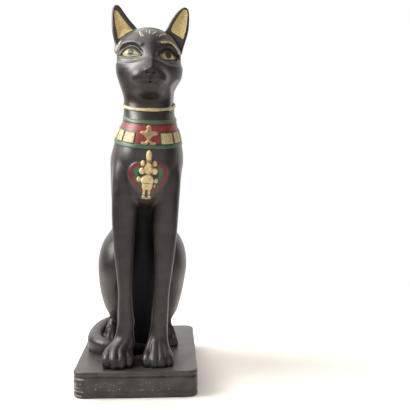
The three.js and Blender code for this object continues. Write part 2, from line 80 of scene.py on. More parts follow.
def join(reach, *forms):
    whole = forms[0]
    for form in forms[1:]:
        overlap = np.maximum(reach - np.abs(whole - form), 0) / reach
        whole = np.minimum(whole, form) - overlap * overlap * reach / 4
    return whole


def carve(reach, whole, hollow):
    return -join(reach, -whole, hollow)


def ball(p, centre, radii, pitch=0.0):
    """An ellipsoid, tipped by pitch degrees."""
    c, s = math.cos(math.radians(pitch)), math.sin(math.radians(pitch))
    turn = np.array([[1, 0, 0], [0, c, -s], [0, s, c]], dtype=np.float32)
    radii = np.array(radii, dtype=np.float32)
    q = ((p - np.array(centre, dtype=np.float32)) @ turn) / radii
    share = length(q)
    return share * (share - 1) / np.maximum(length(q / radii), 1e-4)


def rounded(stations, pieces):
    """Stations on a smooth curve through the given ones."""
    s = np.array(stations, dtype=float)
    s = np.vstack([2 * s[0] - s[1], s, 2 * s[-1] - s[-2]])
    rows = []
    for i in range(1, len(s) - 2):
        for t in np.arange(pieces) / pieces:
            a, b, c, d = s[i - 1 : i + 3]
            bend = (2 * a - 5 * b + 4 * c - d) * t**2
            rows.append(0.5 * (2 * b + (c - a) * t + bend + (3 * b - a - 3 * c + d) * t**3))
    return np.array(rows + [s[-2]])


def limb(p, stations, under=1.0, pieces=3):
    """A round limb through stations [x, y, z, radius]; with under below 1 its lower half reaches lower."""
    rows = rounded(stations, pieces).astype(np.float32)
    best = np.full(len(p), 1e3, dtype=np.float32)
    for a, b in zip(rows[:-1], rows[1:]):
        step = b[:3] - a[:3]
        off = p - a[:3]
        t = np.clip(off @ step / (step @ step), 0, 1)
        off = off - t[:, None] * step
        if under != 1:
            off[:, 2] = np.where(off[:, 2] < 0, off[:, 2] * under, off[:, 2])
        best = np.minimum(best, length(off) - (a[3] + (b[3] - a[3]) * t))
    return best


def stack(p, sections, square):
    """Oval sections [height, x, half width, front, widest, back] on a smooth curve up the z axis."""
    rows = rounded(sections, 8)
    values = [np.interp(p[:, 2], rows[:, 0], rows[:, k]).astype(np.float32) for k in range(1, 6)]
    x, half, front, wide, back = values
    off = p[:, 1] - wide
    deep = np.where(off < 0, wide - front, back - wide)
    u = np.abs(p[:, 0] - x) / half
    v = np.abs(off) / deep
    share = np.maximum((u**square + v**square) ** (1 / square), 1e-3)
    slope = share ** (1 - square) * np.hypot(u ** (square - 1) / half, v ** (square - 1) / deep)
    side = (share - 1) / np.maximum(slope, 1e-3)
    return np.maximum(side, np.maximum(rows[0, 0] - p[:, 2], p[:, 2] - rows[-1, 0]))


def within(p, low, high, form, margin=6.0):
    """A form that is only worked out near its own box; elsewhere it is far away."""
    low = np.array(low) - margin
    high = np.array(high) + margin
    near = np.all((p > low) & (p < high), axis=1)
    gap = np.full(len(p), 1e2, dtype=np.float32)
    if near.any():
        gap[near] = form(p[near])
    return gap


def in_turn(form, points, count=400000):
    parts = [form(points[i : i + count]) for i in range(0, len(points), count)]
    return np.concatenate(parts)


def slope_of(form, points, reach=0.06):
    """Value and gradient of a form at points."""
    corners = np.array([[1, 1, 1], [1, -1, -1], [-1, 1, -1], [-1, -1, 1]], dtype=np.float32)
    values = [in_turn(form, points + corner * reach) for corner in corners]
    gradient = sum(value[:, None] * corner for value, corner in zip(values, corners)) / (4 * reach)
    return sum(values) / 4, gradient


def onto(form, points, rounds, furthest):
    for _ in range(rounds):
        value, gradient = slope_of(form, points)
        step = value / np.maximum((gradient * gradient).sum(axis=1), 0.2)
        points = points - gradient * np.clip(step, -furthest, furthest)[:, None]
    return points


def skin(form, low, high, step, block=4):
    """The form's surface inside a box as points and quads."""
    low = np.array(low, dtype=np.float32)
    wide = step * block
    count = np.ceil((np.array(high) - low) / wide).astype(int) + 1
    places = np.stack(np.meshgrid(*[np.arange(n) for n in count], indexing="ij"), axis=-1).reshape(-1, 3)
    middle = in_turn(form, (low + (places + 0.5) * wide).astype(np.float32)).reshape(count)
    live = np.abs(middle) < wide * 1.45
    grow = lambda block_of: block_of.repeat(block, 0).repeat(block, 1).repeat(block, 2)
    value = grow(middle)
    spots = np.argwhere(grow(live))
    value[tuple(spots.T)] = in_turn(form, (low + spots * step).astype(np.float32))
    inside = value < 0
    wide_x, wide_y, wide_z = np.array(inside.shape) - 1
    total = sum(
        inside[i : wide_x + i, j : wide_y + j, k : wide_z + k].astype(np.int8)
        for i in (0, 1)
        for j in (0, 1)
        for k in (0, 1)
    )
    cells = np.argwhere((total > 0) & (total < 8))
    number = np.full(total.shape, -1, dtype=np.int64)
    number[tuple(cells.T)] = np.arange(len(cells))
    place = np.zeros((len(cells), 3))
    found = np.zeros(len(cells))
    for axis in range(3):
        others = [k for k in range(3) if k != axis]
        for i in (0, 1):
            for j in (0, 1):
                near = np.zeros(3, dtype=int)
                near[others] = (i, j)
                far = near.copy()
                far[axis] = 1
                a = value[tuple((cells + near).T)]
                b = value[tuple((cells + far).T)]
                crossed = (a < 0) != (b < 0)
                share = np.where(crossed, a / np.where(crossed, a - b, 1), 0)
                place += crossed[:, None] * (near + share[:, None] * (far - near))
                found += crossed
    points = low + (cells + place / found[:, None]) * step
    quads = []
    for axis in range(3):
        one, two = [k for k in range(3) if k != axis] if axis != 1 else (2, 0)
        first = np.moveaxis(inside, axis, 0)[:-1]
        second = np.moveaxis(inside, axis, 0)[1:]
        edges = np.argwhere(first != second)
        rest = [k for k in range(3) if k != axis]
        spot = np.empty_like(edges)
        spot[:, axis] = edges[:, 0]
        spot[:, rest[0]] = edges[:, 1]
        spot[:, rest[1]] = edges[:, 2]
        spot = spot[(spot[:, rest[0]] > 0) & (spot[:, rest[1]] > 0)]
        spot = spot[(spot[:, rest[0]] < total.shape[rest[0]]) & (spot[:, rest[1]] < total.shape[rest[1]])]
        a_step = np.eye(3, dtype=int)[one]
        b_step = np.eye(3, dtype=int)[two]
        ring = [spot - a_step - b_step, spot - b_step, spot, spot - a_step]
        quad = np.stack([number[tuple(r.T)] for r in ring], axis=1)
        out = inside[tuple(spot.T)]
        quad[~out] = quad[~out][:, ::-1]
        quads.append(quad)
    return points.astype(np.float32), np.concatenate(quads)


def mesh_of(name, points, faces):
    mesh = bpy.data.meshes.new(name)
    mesh.vertices.add(len(points))
    mesh.vertices.foreach_set("co", np.asarray(points, dtype=np.float32).ravel())
    count = faces.shape[1]
    mesh.loops.add(faces.size)
    mesh.loops.foreach_set("vertex_index", faces.ravel().astype(np.int32))
    mesh.polygons.add(len(faces))
    mesh.polygons.foreach_set("loop_start", np.arange(0, faces.size, count, dtype=np.int32))
    mesh.update(calc_edges=True)
    mesh.validate()
    return mesh


def object_of(mesh):
    piece = bpy.data.objects.new(mesh.name, mesh)
    bpy.context.scene.collection.objects.link(piece)
    return piece


# CREVICE and OPEN are how far out the hollow mark looks, for painted shade; EDGE is how far in the worn mark
# looks.
CREVICE, OPEN, EDGE = 2.2, 8, 1.1


def sculpt(name, form, low, high, step, most, to_world=placed, settle=1, shade=0.0):
    """A piece from a form and its points: a skin with at most that many triangles, smooth normals, and marks
    for how hollow and how worn each point is. With shade, wide hollows count up to that much too."""
    points, quads = skin(form, low, high, step)
    points = onto(form, points, 2, step * 0.6)
    mesh = mesh_of(name, points, quads)
    piece = object_of(mesh)
    if 2 * len(quads) > most:
        fewer = piece.modifiers.new("fewer", "DECIMATE")
        fewer.ratio = most / (2 * len(quads))
        shown = piece.evaluated_get(bpy.context.evaluated_depsgraph_get())
        light = bpy.data.meshes.new_from_object(shown)
        piece.modifiers.clear()
        piece.data = light
        bpy.data.meshes.remove(mesh)
        mesh = light
        mesh.name = name
    points = np.empty(len(mesh.vertices) * 3, dtype=np.float32)
    mesh.vertices.foreach_get("co", points)
    points = onto(form, points.reshape(-1, 3), settle, step * 0.5)
    gradient = slope_of(form, points)[1]
    normal = gradient / np.maximum(length(gradient), 1e-6)[:, None]
    mesh.vertices.foreach_set("co", (to_world(points) / 1000).astype(np.float32).ravel())
    mesh.shade_smooth()
    mesh.update()
    turned = to_world(points + normal) - to_world(points)
    turned /= length(turned)[:, None]
    mesh.normals_split_custom_set_from_vertices(turned.tolist())
    # How far into a crease or hollow a point lies; the materials paint shade from it.
    hollow = 1 - in_turn(form, points + normal * CREVICE) / CREVICE
    if shade:
        hollow = np.maximum(hollow, shade - shade * in_turn(form, points + normal * OPEN) / OPEN)
    mark(mesh, "hollow", hollow)
    mark(mesh, "worn", 1 + in_turn(form, points - normal * EDGE) / EDGE)
    return piece, points


def mark(mesh, name, values):
    """A number at each vertex for the material to read."""
    layer = mesh.attributes.new(name, "FLOAT", "POINT")
    layer.data.foreach_set("value", np.asarray(values, dtype=np.float32))


def bell(distance, reach):
    return np.exp(-((distance / reach) ** 2))


def step_up(low, high, value):
    t = np.clip((value - low) / (high - low), 0, 1)
    return t * t * (3 - 2 * t)


def stroke(x, z, points, pieces=5):
    """Distance in x and z to a smooth line through points."""
    rows = rounded(points, pieces)
    best = np.full(len(x), 1e3)
    for a, b in zip(rows[:-1], rows[1:]):
        along = b - a
        t = np.clip(((x - a[0]) * along[0] + (z - a[1]) * along[1]) / (along @ along), 0, 1)
        best = np.minimum(best, np.hypot(x - a[0] - along[0] * t, z - a[1] - along[1] * t))
    return best


def inside_line(x, z, outline):
    """How far inside a closed outline of x and z a point lies, negative outside."""
    outline = np.asarray(outline)
    best = np.full(len(x), 1e3)
    odd = np.zeros(len(x), dtype=bool)
    for a, b in zip(outline, np.roll(outline, -1, axis=0)):
        along = b - a
        t = np.clip(((x - a[0]) * along[0] + (z - a[1]) * along[1]) / max(along @ along, 1e-9), 0, 1)
        best = np.minimum(best, np.hypot(x - a[0] - along[0] * t, z - a[1] - along[1] * t))
        if a[1] != b[1]:
            crosses = (a[1] > z) != (b[1] > z)
            odd ^= crosses & (x < a[0] + (z - a[1]) / (b[1] - a[1]) * along[0])
    return np.where(odd, best, -best)


# Node groups that the materials share. Each takes marks or places and gives a mask, a colour or a height.
def group(name, inputs, outputs):
    """A group with its inputs' first values; a tuple is a colour, and so is an output named Color."""
    tree = bpy.data.node_groups.new(name, "ShaderNodeTree")
    for title, value in inputs.items():
        kind = "NodeSocketColor" if isinstance(value, tuple) else "NodeSocketFloat"
        tree.interface.new_socket(name=title, in_out="INPUT", socket_type=kind).default_value = value
    for title in outputs:
        kind = "NodeSocketColor" if title == "Color" else "NodeSocketFloat"
        tree.interface.new_socket(name=title, in_out="OUTPUT", socket_type=kind)
    return tree, tree.nodes.new("NodeGroupInput").outputs, tree.nodes.new("NodeGroupOutput").inputs


def node(tree, kind, settings=None, **links):
    """A node with its settings, and its inputs by name: a socket to link, or a value."""
    made = tree.nodes.new(kind)
    for key, value in (settings or {}).items():
        setattr(made, key, value)
    for title, value in links.items():
        socket = made.inputs[int(title[1:])] if title[0] == "_" else made.inputs[title.replace("_", " ")]
        if isinstance(value, bpy.types.NodeSocket):
            tree.links.new(value, socket)
        else:
            socket.default_value = value
    return made


def maths(operation, a, b=0.0):
    tree = (a if isinstance(a, bpy.types.NodeSocket) else b).id_data
    return node(tree, "ShaderNodeMath", {"operation": operation}, _0=a, _1=b).outputs[0]


def plus(a, b):
    return maths("ADD", a, b)


def minus(a, b):
    return maths("SUBTRACT", a, b)


def times(a, b):
    return maths("MULTIPLY", a, b)


def away(value, level):
    """How far a mark is from a level, on either side."""
    return maths("ABSOLUTE", minus(value, level))


def ramp(value, low, high, start=0.0, end=1.0, kind="LINEAR"):
    """A value between low and high, spread from start to end, evenly or eased at both."""
    levels = {"From_Min": low, "From_Max": high, "To_Min": start, "To_Max": end}
    settings = {"interpolation_type": kind}
    return node(value.id_data, "ShaderNodeMapRange", settings, Value=value, **levels).outputs[0]


def noise(place, scale, detail, rough):
    levels = {"Scale": scale, "Detail": detail, "Roughness": rough}
    return node(place.id_data, "ShaderNodeTexNoise", Vector=place, **levels).outputs["Fac"]


def blend_in(mask, below, above):
    return node(mask.id_data, "ShaderNodeMix", {"data_type": "RGBA"}, _0=mask, _6=below, _7=above).outputs[2]


def mark_of(tree, title):
    return node(tree, "ShaderNodeAttribute", {"attribute_name": title}).outputs["Fac"]


def place_in(tree):
    return node(tree, "ShaderNodeTexCoord").outputs["Object"]


# edge_mask: a painted edge from a distance mark in millimetres, wavering as a brush line does.
numbers = {"Distance": 0.0, "Start": 0.0, "Waver": 0.3, "Soft": 0.18}
tree, given, result = group("edge_mask", numbers, ["Mask"])
waver = times(minus(noise(place_in(tree), 420.0, 3.0, 0.6), 0.5), given["Waver"])
past = plus(minus(given["Distance"], given["Start"]), waver)
edge = ramp(past, times(given["Soft"], -1.0), given["Soft"], kind="SMOOTHSTEP")
tree.links.new(edge, result["Mask"])

# cast_resin: the dark brown casting with its mottle, rubbed edges, streaks of dust and a fine cast grain,
# and
# painted shade: its hollows go darker and less glossy. Hollow and Worn are marks, Dust is how much of it has
# settled.
MOTTLE = ((0.32, (0.0092, 0.0057, 0.0058, 1)), (0.72, (0.0185, 0.0114, 0.0112, 1)))
# HOLLOW_SHADE is painted shade for the hollows; RUBBED is wear and DUSTY is dust.
HOLLOW_SHADE, RUBBED, DUSTY = (0.0030, 0.0027, 0.0028, 1), (0.105, 0.083, 0.070, 1), (0.14, 0.122, 0.108, 1)
numbers = {"Hollow": 0.0, "Worn": 0.0, "Dust": 0.0}
tree, given, result = group("cast_resin", numbers, ["Color", "Roughness", "Height", "Sheen"])
place = place_in(tree)
fine = noise(place, 320.0, 5.0, 0.65)
smear = node(tree, "ShaderNodeMapping", {"vector_type": "POINT"}, Vector=place, Scale=(0.6, 1.0, 1.0))
streak = noise(smear.outputs[0], 130.0, 3.0, 0.5)
mottle = node(tree, "ShaderNodeValToRGB", Fac=noise(place, 26.0, 4.0, 0.55))
for stop, (level, tone) in zip(mottle.color_ramp.elements, MOTTLE):
    stop.position = level
    stop.color = tone
# Painted shade: the deeper the hollow, the nearer the colour goes to HOLLOW_SHADE and the lower the gloss.
deep = ramp(given["Hollow"], 0.12, 0.75)
colour = blend_in(deep, mottle.outputs["Color"], HOLLOW_SHADE)
edge = plus(given["Worn"], times(minus(fine, 0.5), 0.5))
colour = blend_in(ramp(edge, 0.42, 0.95, 0.0, 0.35), colour, RUBBED)
settled = times(given["Dust"], ramp(streak, 0.35, 0.7))
tree.links.new(blend_in(settled, colour, DUSTY), result["Color"])
tree.links.new(plus(ramp(streak, 0.3, 0.7, 0.32, 0.41), times(fine, 0.04)), result["Roughness"])
tree.links.new(minus(0.5, times(deep, 0.4)), result["Sheen"])
tree.links.new(plus(times(fine, 0.35), times(streak, 0.65)), result["Height"])

# hand_paint: one coat of paint with brush streaks and thin spots, and painted shade that darkens it in
# hollows.
values = {"Light": (0.8, 0.6, 0.3, 1), "Dark": (0.3, 0.2, 0.08, 1), "Hollow": 0.0}
tree, given, result = group("hand_paint", values, ["Color", "Height"])
place = place_in(tree)
dabs = noise(place, 700.0, 4.0, 0.7)
patch = noise(place, 170.0, 3.0, 0.6)
coat = plus(times(dabs, 0.55), times(patch, 0.45))
thick = ramp(minus(coat, times(given["Hollow"], 0.5)), 0.28, 0.56)
tree.links.new(blend_in(thick, given["Dark"], given["Light"]), result["Color"])
tree.links.new(coat, result["Height"])


def shared(tree, name, **links):
    """The outputs of a shared group, used in a tree."""
    return node(tree, "ShaderNodeGroup", {"node_tree": bpy.data.node_groups[name]}, **links).outputs


def edge_mask(distance, start=0.0, waver=0.3, soft=0.18):
    levels = {"Start": start, "Waver": waver, "Soft": soft}
    return shared(distance.id_data, "edge_mask", Distance=distance, **levels)["Mask"]


def hand_paint(tree, light, dark, hollow=0.0):
    return shared(tree, "hand_paint", Light=(*light, 1), Dark=(*dark, 1), Hollow=hollow)


def new_material(name):
    material = bpy.data.materials.new(name)
    material.use_nodes = True
    return material, material.node_tree, material.node_tree.nodes["Principled BSDF"]


def resin_material(name, dust):
    """A material of cast resin, with its tree, its shader and the resin's colour, still to be linked."""
    material, tree, shader = new_material(name)
    marks = {"Hollow": mark_of(tree, "hollow"), "Worn": mark_of(tree, "worn")}
    resin = shared(tree, "cast_resin", Dust=dust, **marks)
    bump = node(tree, "ShaderNodeBump", Strength=0.35, Distance=0.00012, Height=resin["Height"])
    tree.links.new(resin["Roughness"], shader.inputs["Roughness"])
    tree.links.new(bump.outputs[0], shader.inputs["Normal"])
    tree.links.new(resin["Sheen"], shader.inputs["Specular IOR Level"])
    return material, tree, shader, resin["Color"]


def finish(piece, material):
    """Paint a piece and declare what it is part of."""
    piece.data.materials.append(material)
    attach(piece, "root")
    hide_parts("bastet_cat_figure")


# Plinth: a rounded block with a raised rim at top and foot and a groove inside each, a little uneven from
# casting, nicked at its front corner, with faded specks of gilt along its front.
PLINTH_W, PLINTH_D, PLINTH_H, CORNER = 93.0, 138.0, 20.0, 9.0
RIM_ROUND, FOOT_ROUND = 1.6, 0.9
GROOVES = ((4.2, 0.3, 0.5, 0.9), (15.6, 1.0, 0.7, 0.7))  # level, share of the sway, depth, half width
NICKS = [
    [(-46, 14.2), (-38, 14.6)],
    [(-45.5, 10.6), (-39.5, 11.2)],
    [(-45, 7.8), (-41, 8.2)],
    [(-44.5, 5.4), (-38.6, 5.0)],
    [(-45, 2.2), (-40, 1.8)],
]
GILT_ROWS = (6.4, 10.8)
OFF = -5  # a mark's value well away from what it marks


def plinth_form(p):
    x, y, z = p.T
    off_x = np.abs(x) - (PLINTH_W / 2 - CORNER)
    off_y = np.abs(y) - (PLINTH_D / 2 - CORNER)
    side = np.hypot(np.maximum(off_x, 0), np.maximum(off_y, 0))
    side = side + np.minimum(np.maximum(off_x, off_y), 0) - CORNER
    sway = 0.12 * np.sin((x + y) / 9.0) + 0.08 * np.sin((x - y) / 5.3 + 1.0)
    side = side + 0.12 + 0.5 * sway
    for level, share, deep, half in GROOVES:
        side = side + deep * bell(z - (level + share * sway), half)
    top = z - PLINTH_H - 0.1 * np.sin(x / 11.0) * np.sin(y / 14.0) + 0.1
    rim = np.maximum(side, top)
    edge = np.hypot(np.maximum(side + RIM_ROUND, 0), np.maximum(top + RIM_ROUND, 0)) - RIM_ROUND
    rim = np.where((side > -RIM_ROUND) & (top > -RIM_ROUND), edge, rim)
    foot = np.hypot(np.maximum(side + FOOT_ROUND, 0), np.maximum(FOOT_ROUND - z, 0)) - FOOT_ROUND
    rim = np.where((side > -FOOT_ROUND) & (z < FOOT_ROUND), foot, rim)
    return np.maximum(rim, -z)


unturned = lambda points: points
plinth, spots = sculpt("plinth", plinth_form, (-48, -70.2, -1.2), (48, 70.2, 22), 0.7, 90000, unturned)
x, y, z = spots.T
nicks = np.min([stroke(x, z, line) for line in NICKS], axis=0)
rows = np.min([np.abs(z - level) for level in GILT_ROWS], axis=0)
mark(plinth.data, "upper", step_up(18.8, 19.8, z))
mark(plinth.data, "nicks", np.where(y < -56, 0.5 - nicks, OFF))
mark(plinth.data, "gilt_rows", np.where((y < -67) & (np.abs(x + 4) < 32), 1.1 - rows, OFF))
material, tree, shader, colour = resin_material("plinth_resin", 0.3)
# The top is painted lighter than the sides: part settled dust, part painted light from above.
colour = blend_in(times(mark_of(tree, "upper"), 0.45), colour, (0.075, 0.062, 0.054, 1))
cells = node(tree, "ShaderNodeTexVoronoi", {"feature": "F1"}, Vector=place_in(tree), Scale=420.0)
fleck = times(ramp(cells.outputs["Distance"], 0.30, 0.12), 0.7)
gilt = times(edge_mask(mark_of(tree, "gilt_rows"), soft=0.5), fleck)
colour = blend_in(gilt, colour, (0.30, 0.215, 0.095, 1))
chip = edge_mask(mark_of(tree, "nicks"), waver=1.3, soft=0.3)
colour = blend_in(times(chip, 0.6), colour, (0.36, 0.33, 0.30, 1))
tree.links.new(colour, shader.inputs["Base Color"])
finish(plinth, material)

# Body: chest, back, haunches, legs, feet and tail up to the choker, in one skin. Smooth blends join the
# large forms, and closer ones leave the grooves between toes. The heart on the chest is paint on low relief.
TRUNK = [
    [-5, MID, 20, -4, 24, 52],
    [12, MID, 22, -7, 24, 56],
    [30, MID, 23, -11, 22, 58],
    [50, MID, 23.5, -15, 19, 57],
    [70, MID, 24, -19, 15, 53.5],
    [90, MID - 0.4, 24.5, -25, 9, 48],
    [104, MID - 1.0, 24.3, -28, 4, 44],
    [116, MID - 0.9, 24.6, -34, 1, 40.5],
    [124, MID - 0.7, 25.0, -43, -0.6, 38.6],
    [131, MID - 0.3, 25.6, -48, -2, 36.4],
    [145, MID, 27.3, -50.8, -6, 32],
    [156, MID + 0.4, 28.6, -51, -9, 28],
    [166, MID + 1.0, 27.0, -49.6, -11, 24],
    [176, MID + 1.1, 24.4, -46.6, -12, 20],
    [186, MID + 1.5, 21.1, -42.4, -12, 16],
    [195, MID + 0.5, 20.3, -37.0, -12, 12.8],
    [204, MID + 0.4, 20.4, -35.2, -12, 10.6],
    [214, MID + 0.2, 21.6, -38.4, -12, 9.4],
    [226, MID, 22.4, -41, -12, 9],
]
CHOKER_TILT = 12.8
CHOKER_LEVEL = 200.3
CHOKER_ROLL = 2.2


def over_choker(p):
    """Height over the middle of the choker, where the body's skin ends and the head's begins."""
    back = math.tan(math.radians(CHOKER_TILT)) * (p[:, 1] + 13)
    aside = math.tan(math.radians(CHOKER_ROLL)) * (p[:, 0] - MID)
    return (p[:, 2] - CHOKER_LEVEL - back - aside) * math.cos(math.radians(CHOKER_TILT))


HAUNCHES = {
    -1: [(MID - 20.5, 15, 67.0, 16.6, 33, 30.0), (MID - 19.0, 18, 43.5, 14.2, 26, 23.5)],
    1: [(MID + 20.8, 15, 68.5, 16.8, 33, 30.5), (MID + 19.2, 18, 41.5, 14.4, 26, 24.0)],
}
# The forelegs, by height: front, widest and back, then for each side x from the middle and half width.
LEG_DEPTHS = {
    -5: (-49.0, -41, -33),
    10: (-48.0, -40, -32),
    22: (-46.0, -38, -30),
    30: (-45.6, -37.8, -29.6),
    38: (-45.0, -37.5, -29.2),
    56: (-44.4, -37.5, -29.6),
    80: (-45.0, -37, -28),
    100: (-45.2, -36, -25),
    120: (-45.0, -33, -20),
    146: (-43.4, -31, -11),
    160: (-38, -26, -8),
}
LEG_ROWS = {
    -1: [(-5, -14.8, 7.4), (10, -14.0, 7.2), (22, -13.4, 6.2), (30, -13.0, 6.6), (38, -13.7, 6.0)]
    + [(56, -14.6, 5.6), (80, -16.1, 7.3), (100, -16.8, 8.8), (120, -16.6, 10.2)]
    + [(146, -15.9, 10.8), (160, -14.2, 9.6)],
    1: [(-5, 12.4, 7.4), (10, 12.4, 7.2), (22, 12.8, 6.8), (38, 13.2, 6.5), (56, 14.1, 6.1)]
    + [(80, 15.0, 7.8), (100, 15.0, 9.4), (120, 15.2, 10.2), (146, 15.3, 10.8), (160, 13.8, 9.6)],
}
LEGS = {s: [[h, MID + x, half, *LEG_DEPTHS[h]] for h, x, half in LEG_ROWS[s]] for s in (-1, 1)}


def haunch_form(p, s):
    return join(9, *(ball(p, part[:3], part[3:]) for part in HAUNCHES[s]))


def torso_form(p):
    forms = [stack(p, TRUNK, 2.5)]
    for s in (-1, 1):
        shoulder = lambda q: ball(q, (MID - 0.6 + s * 14.8, -14, 140), (11.4, 25, 44), -6)
        blade = lambda q: ball(q, (MID + s * 12, 12, 168), (9, 12, 22), 26)
        forms.append(within(p, (-42, -30, -8), (44, 64, 110), lambda q: haunch_form(q, s), 12))
        forms.append(within(p, (-40, -45, 90), (42, 20, 190), shoulder, 12))
        forms.append(within(p, (-30, -10, 140), (32, 36, 195), blade, 12))
    return join(7, *forms)


TOES, TOE_UNDER = (-1.5, -0.5, 0.5, 1.5), 0.7


def paw_form(p, s):
    middle = MID - 3.3 + s * 15
    wrist = MID - 1 + s * 13
    toes = []
    for k in TOES:
        back = 2.6 if abs(k) > 1 else 0.0
        toe = [
            [wrist + k * 2.0, -41.5, 24, 2.6],
            [wrist + k * 3.0 - s * 0.4, -45.5 + back * 0.4, 17.5 - abs(k), 3.2],
            [middle + k * 4.4, -51.5 + back, 10.8 - abs(k), 3.9],
            [middle + k * 5.3, -57.2 + back, 5.4, 4.3],
            [middle + k * 5.4, -59.4 + back, 2.6, 3.9],
        ]
        toes.append(limb(p, toe, under=TOE_UNDER))
    hand = join(
        4,
        limb(p, [[wrist, -38.5, 18, 6.4], [middle, -46, 7.5, 8.2]]),
        ball(p, (middle, -49, 3.0), (10.0, 9.5, 8.0)),
    )
    return join(1.5, hand, join(0.9, *toes))


def hind_foot_form(p, s):
    middle = MID - 0.45 + s * 24.25
    toes = []
    for k in TOES:
        back = 1.6 if abs(k) > 1 else 0.0
        toe = [
            [middle - s * 0.8 + k * 1.9, 3.6, 14.5, 2.2],
            [middle - s * 0.2 + k * 2.8, 0.4 + back, 9.6 - abs(k), 2.6],
            [middle + k * 3.2, -3.4 + back, 5.0, 2.9],
            [middle + k * 3.3, -4.8 + back, 2.4, 2.8],
        ]
        toes.append(limb(p, toe, under=TOE_UNDER))
    heel, ankle = MID + s * 20.5, MID + s * 21.4
    foot = limb(p, [[heel, 34, 8, 7.6], [ankle, 18, 8, 7.0], [middle, 4, 5.0, 5.6]], under=0.6)
    ridge = [[MID + s * 20.6, 17, 27, 3.4], [middle - s * 1.6, 9.5, 20, 3.6]]
    ridge.append([middle - s * 0.6, 3.6, 11.5, 4.4])
    return join(1.4, join(4, foot, limb(p, ridge)), join(0.7, *toes))


TAIL = [
    [2, 54, 9, 7.4],
    [-12.5, 54, 7.6, 7.2],
    [-23.4, 47, 7.0, 7.0],
    [-30.8, 35, 6.6, 6.8],
    [-35.0, 19, 6.4, 6.6],
    [-36.6, 3, 6.2, 6.5],
    [-35.4, -11, 6.0, 6.2],
    [-27.5, -21.4, 5.8, 5.9],
    [-17, -24.5, 5.2, 5.3],
    [-7, -23.8, 4.6, 4.7],
    [1, -21.6, 4.0, 4],
]


def both(form):
    """A form on both sides; it takes points and a side, -1 or 1."""
    return lambda q: np.minimum(form(q, -1), form(q, 1))


def body_form(p):
    legs = within(p, (-30, -52, -8), (32, -4, 160), both(lambda q, s: stack(q, LEGS[s], 2.7)), 9)
    whole = join(2.6, torso_form(p), legs)
    whole = join(3.0, whole, within(p, (-34, -66, -8), (30, -30, 30), both(paw_form)))
    whole = join(3.0, whole, within(p, (-38, -14, -8), (38, 44, 26), both(hind_foot_form)))
    tail = within(p, (-46, -34, -8), (12, 66, 20), lambda q: limb(q, TAIL, under=0.5, pieces=4))
    whole = join(1.6, whole, tail)
    floor = -(p @ SET[2].astype(np.float32)) - 2.4
    return np.maximum(whole, floor)


def curve(a, b, c, d):
    """Twelve points from a on the way to d, leaving towards b and coming in from c."""
    a, b, c, d = (np.array(point) for point in (a, b, c, d))
    shares = np.arange(12) / 12
    return [(1 - t) ** 3 * a + 3 * (1 - t) ** 2 * t * b + 3 * (1 - t) * t * t * c + t**3 * d for t in shares]


def heart_outline():
    half, top, dip, tip, mid = 15.4, 155.4, 150.4, 126.2, 1.0
    right = curve((mid, tip), (mid + half * 0.42, 132.6), (mid + half, 138), (mid + half, 145.6))
    right += curve((mid + half, 145.6), (mid + half, top + 1.4), (mid + half * 0.22, top + 0.6), (mid, dip))
    left = [np.array([2 * mid - x, z]) for x, z in right[::-1]]
    return np.array(right + left[:-1])


HEART = heart_outline()
NO_HEART = -9.0


def chest_form(p):
    """The body with the heart's band standing a little proud of the chest."""
    whole = body_form(p)
    x, y, z = p.T
    near = (np.abs(x - 1) < 22) & (z > 120) & (z < 162) & (y < -30)
    if near.any():
        deep = inside_line(x[near], z[near], HEART)
        lift = 0.55 * step_up(-0.2, 0.7, deep) * (1 - step_up(3.4, 4.4, deep))
        whole[near] -= lift.astype(np.float32)
    return np.maximum(whole, over_choker(p) - 0.5)


# With shade, wide hollows such as the belly between the legs get painted shade as well.
body, spots = sculpt("body", chest_form, (-46.5, -66, -6), (46.5, 68, 209), 0.7, 196000, shade=0.85)
x, y, z = spots.T
near = (np.abs(x - 1) < 24) & (z > 118) & (z < 164) & (y < -30)
deep = np.full(len(spots), NO_HEART)
deep[near] = inside_line(x[near], z[near], HEART)
# The recess behind and between the forelegs is painted shade: near-black, duller and less glossy.
behind_legs = step_up(0, 9, y + np.interp(z, [0, 100, 120, 128], [41, 39, 40, 46]))
between = step_up(15, 7, np.abs(x - MID)) * (y < 20) * (z > -3)
mark(body.data, "heart", deep)
mark(body.data, "high", z)
mark(body.data, "recess", behind_legs * between * step_up(130, 118, z))
# The front paws are painted near-black along their lowest few millimetres, where they meet the plinth.
mark(body.data, "claws", 4.6 - z + np.where(y < -50, 0, -9))
material, tree, shader, resin = resin_material("body_resin", 0.12)
heart, hollow, recess = (mark_of(tree, title) for title in ("heart", "hollow", "recess"))
red = hand_paint(tree, (0.17, 0.026, 0.028), (0.045, 0.010, 0.012), hollow)["Color"]
green = hand_paint(tree, (0.055, 0.13, 0.065), (0.012, 0.034, 0.022), hollow)["Color"]
worn_off = ramp(mark_of(tree, "high"), 128.0, 142.0, 0.3)
colour = blend_in(times(edge_mask(heart, -1.1, 0.9, 0.4), 0.5), resin, (0.03, 0.075, 0.06, 1))
colour = blend_in(times(edge_mask(heart, 0.1, 0.8, 0.4), worn_off), colour, red)
colour = blend_in(edge_mask(heart, 3.7, 1.0, 0.5), colour, green)
colour = blend_in(edge_mask(heart, 7.2, 1.4, 0.8), colour, (0.014, 0.018, 0.017, 1))
colour = blend_in(edge_mask(mark_of(tree, "claws"), 0.0, 1.5, 1.6), colour, (0.0022, 0.0020, 0.0024, 1))
colour = blend_in(recess, colour, (0.0034, 0.0038, 0.0052, 1))
rough = shader.inputs["Roughness"].links[0].from_socket
sheen = shader.inputs["Specular IOR Level"].links[0].from_socket
tree.links.new(plus(rough, times(recess, 0.2)), shader.inputs["Roughness"])
tree.links.new(times(sheen, minus(1.0, times(recess, 0.62))), shader.inputs["Specular IOR Level"])
tree.links.new(colour, shader.inputs["Base Color"])
finish(body, material)

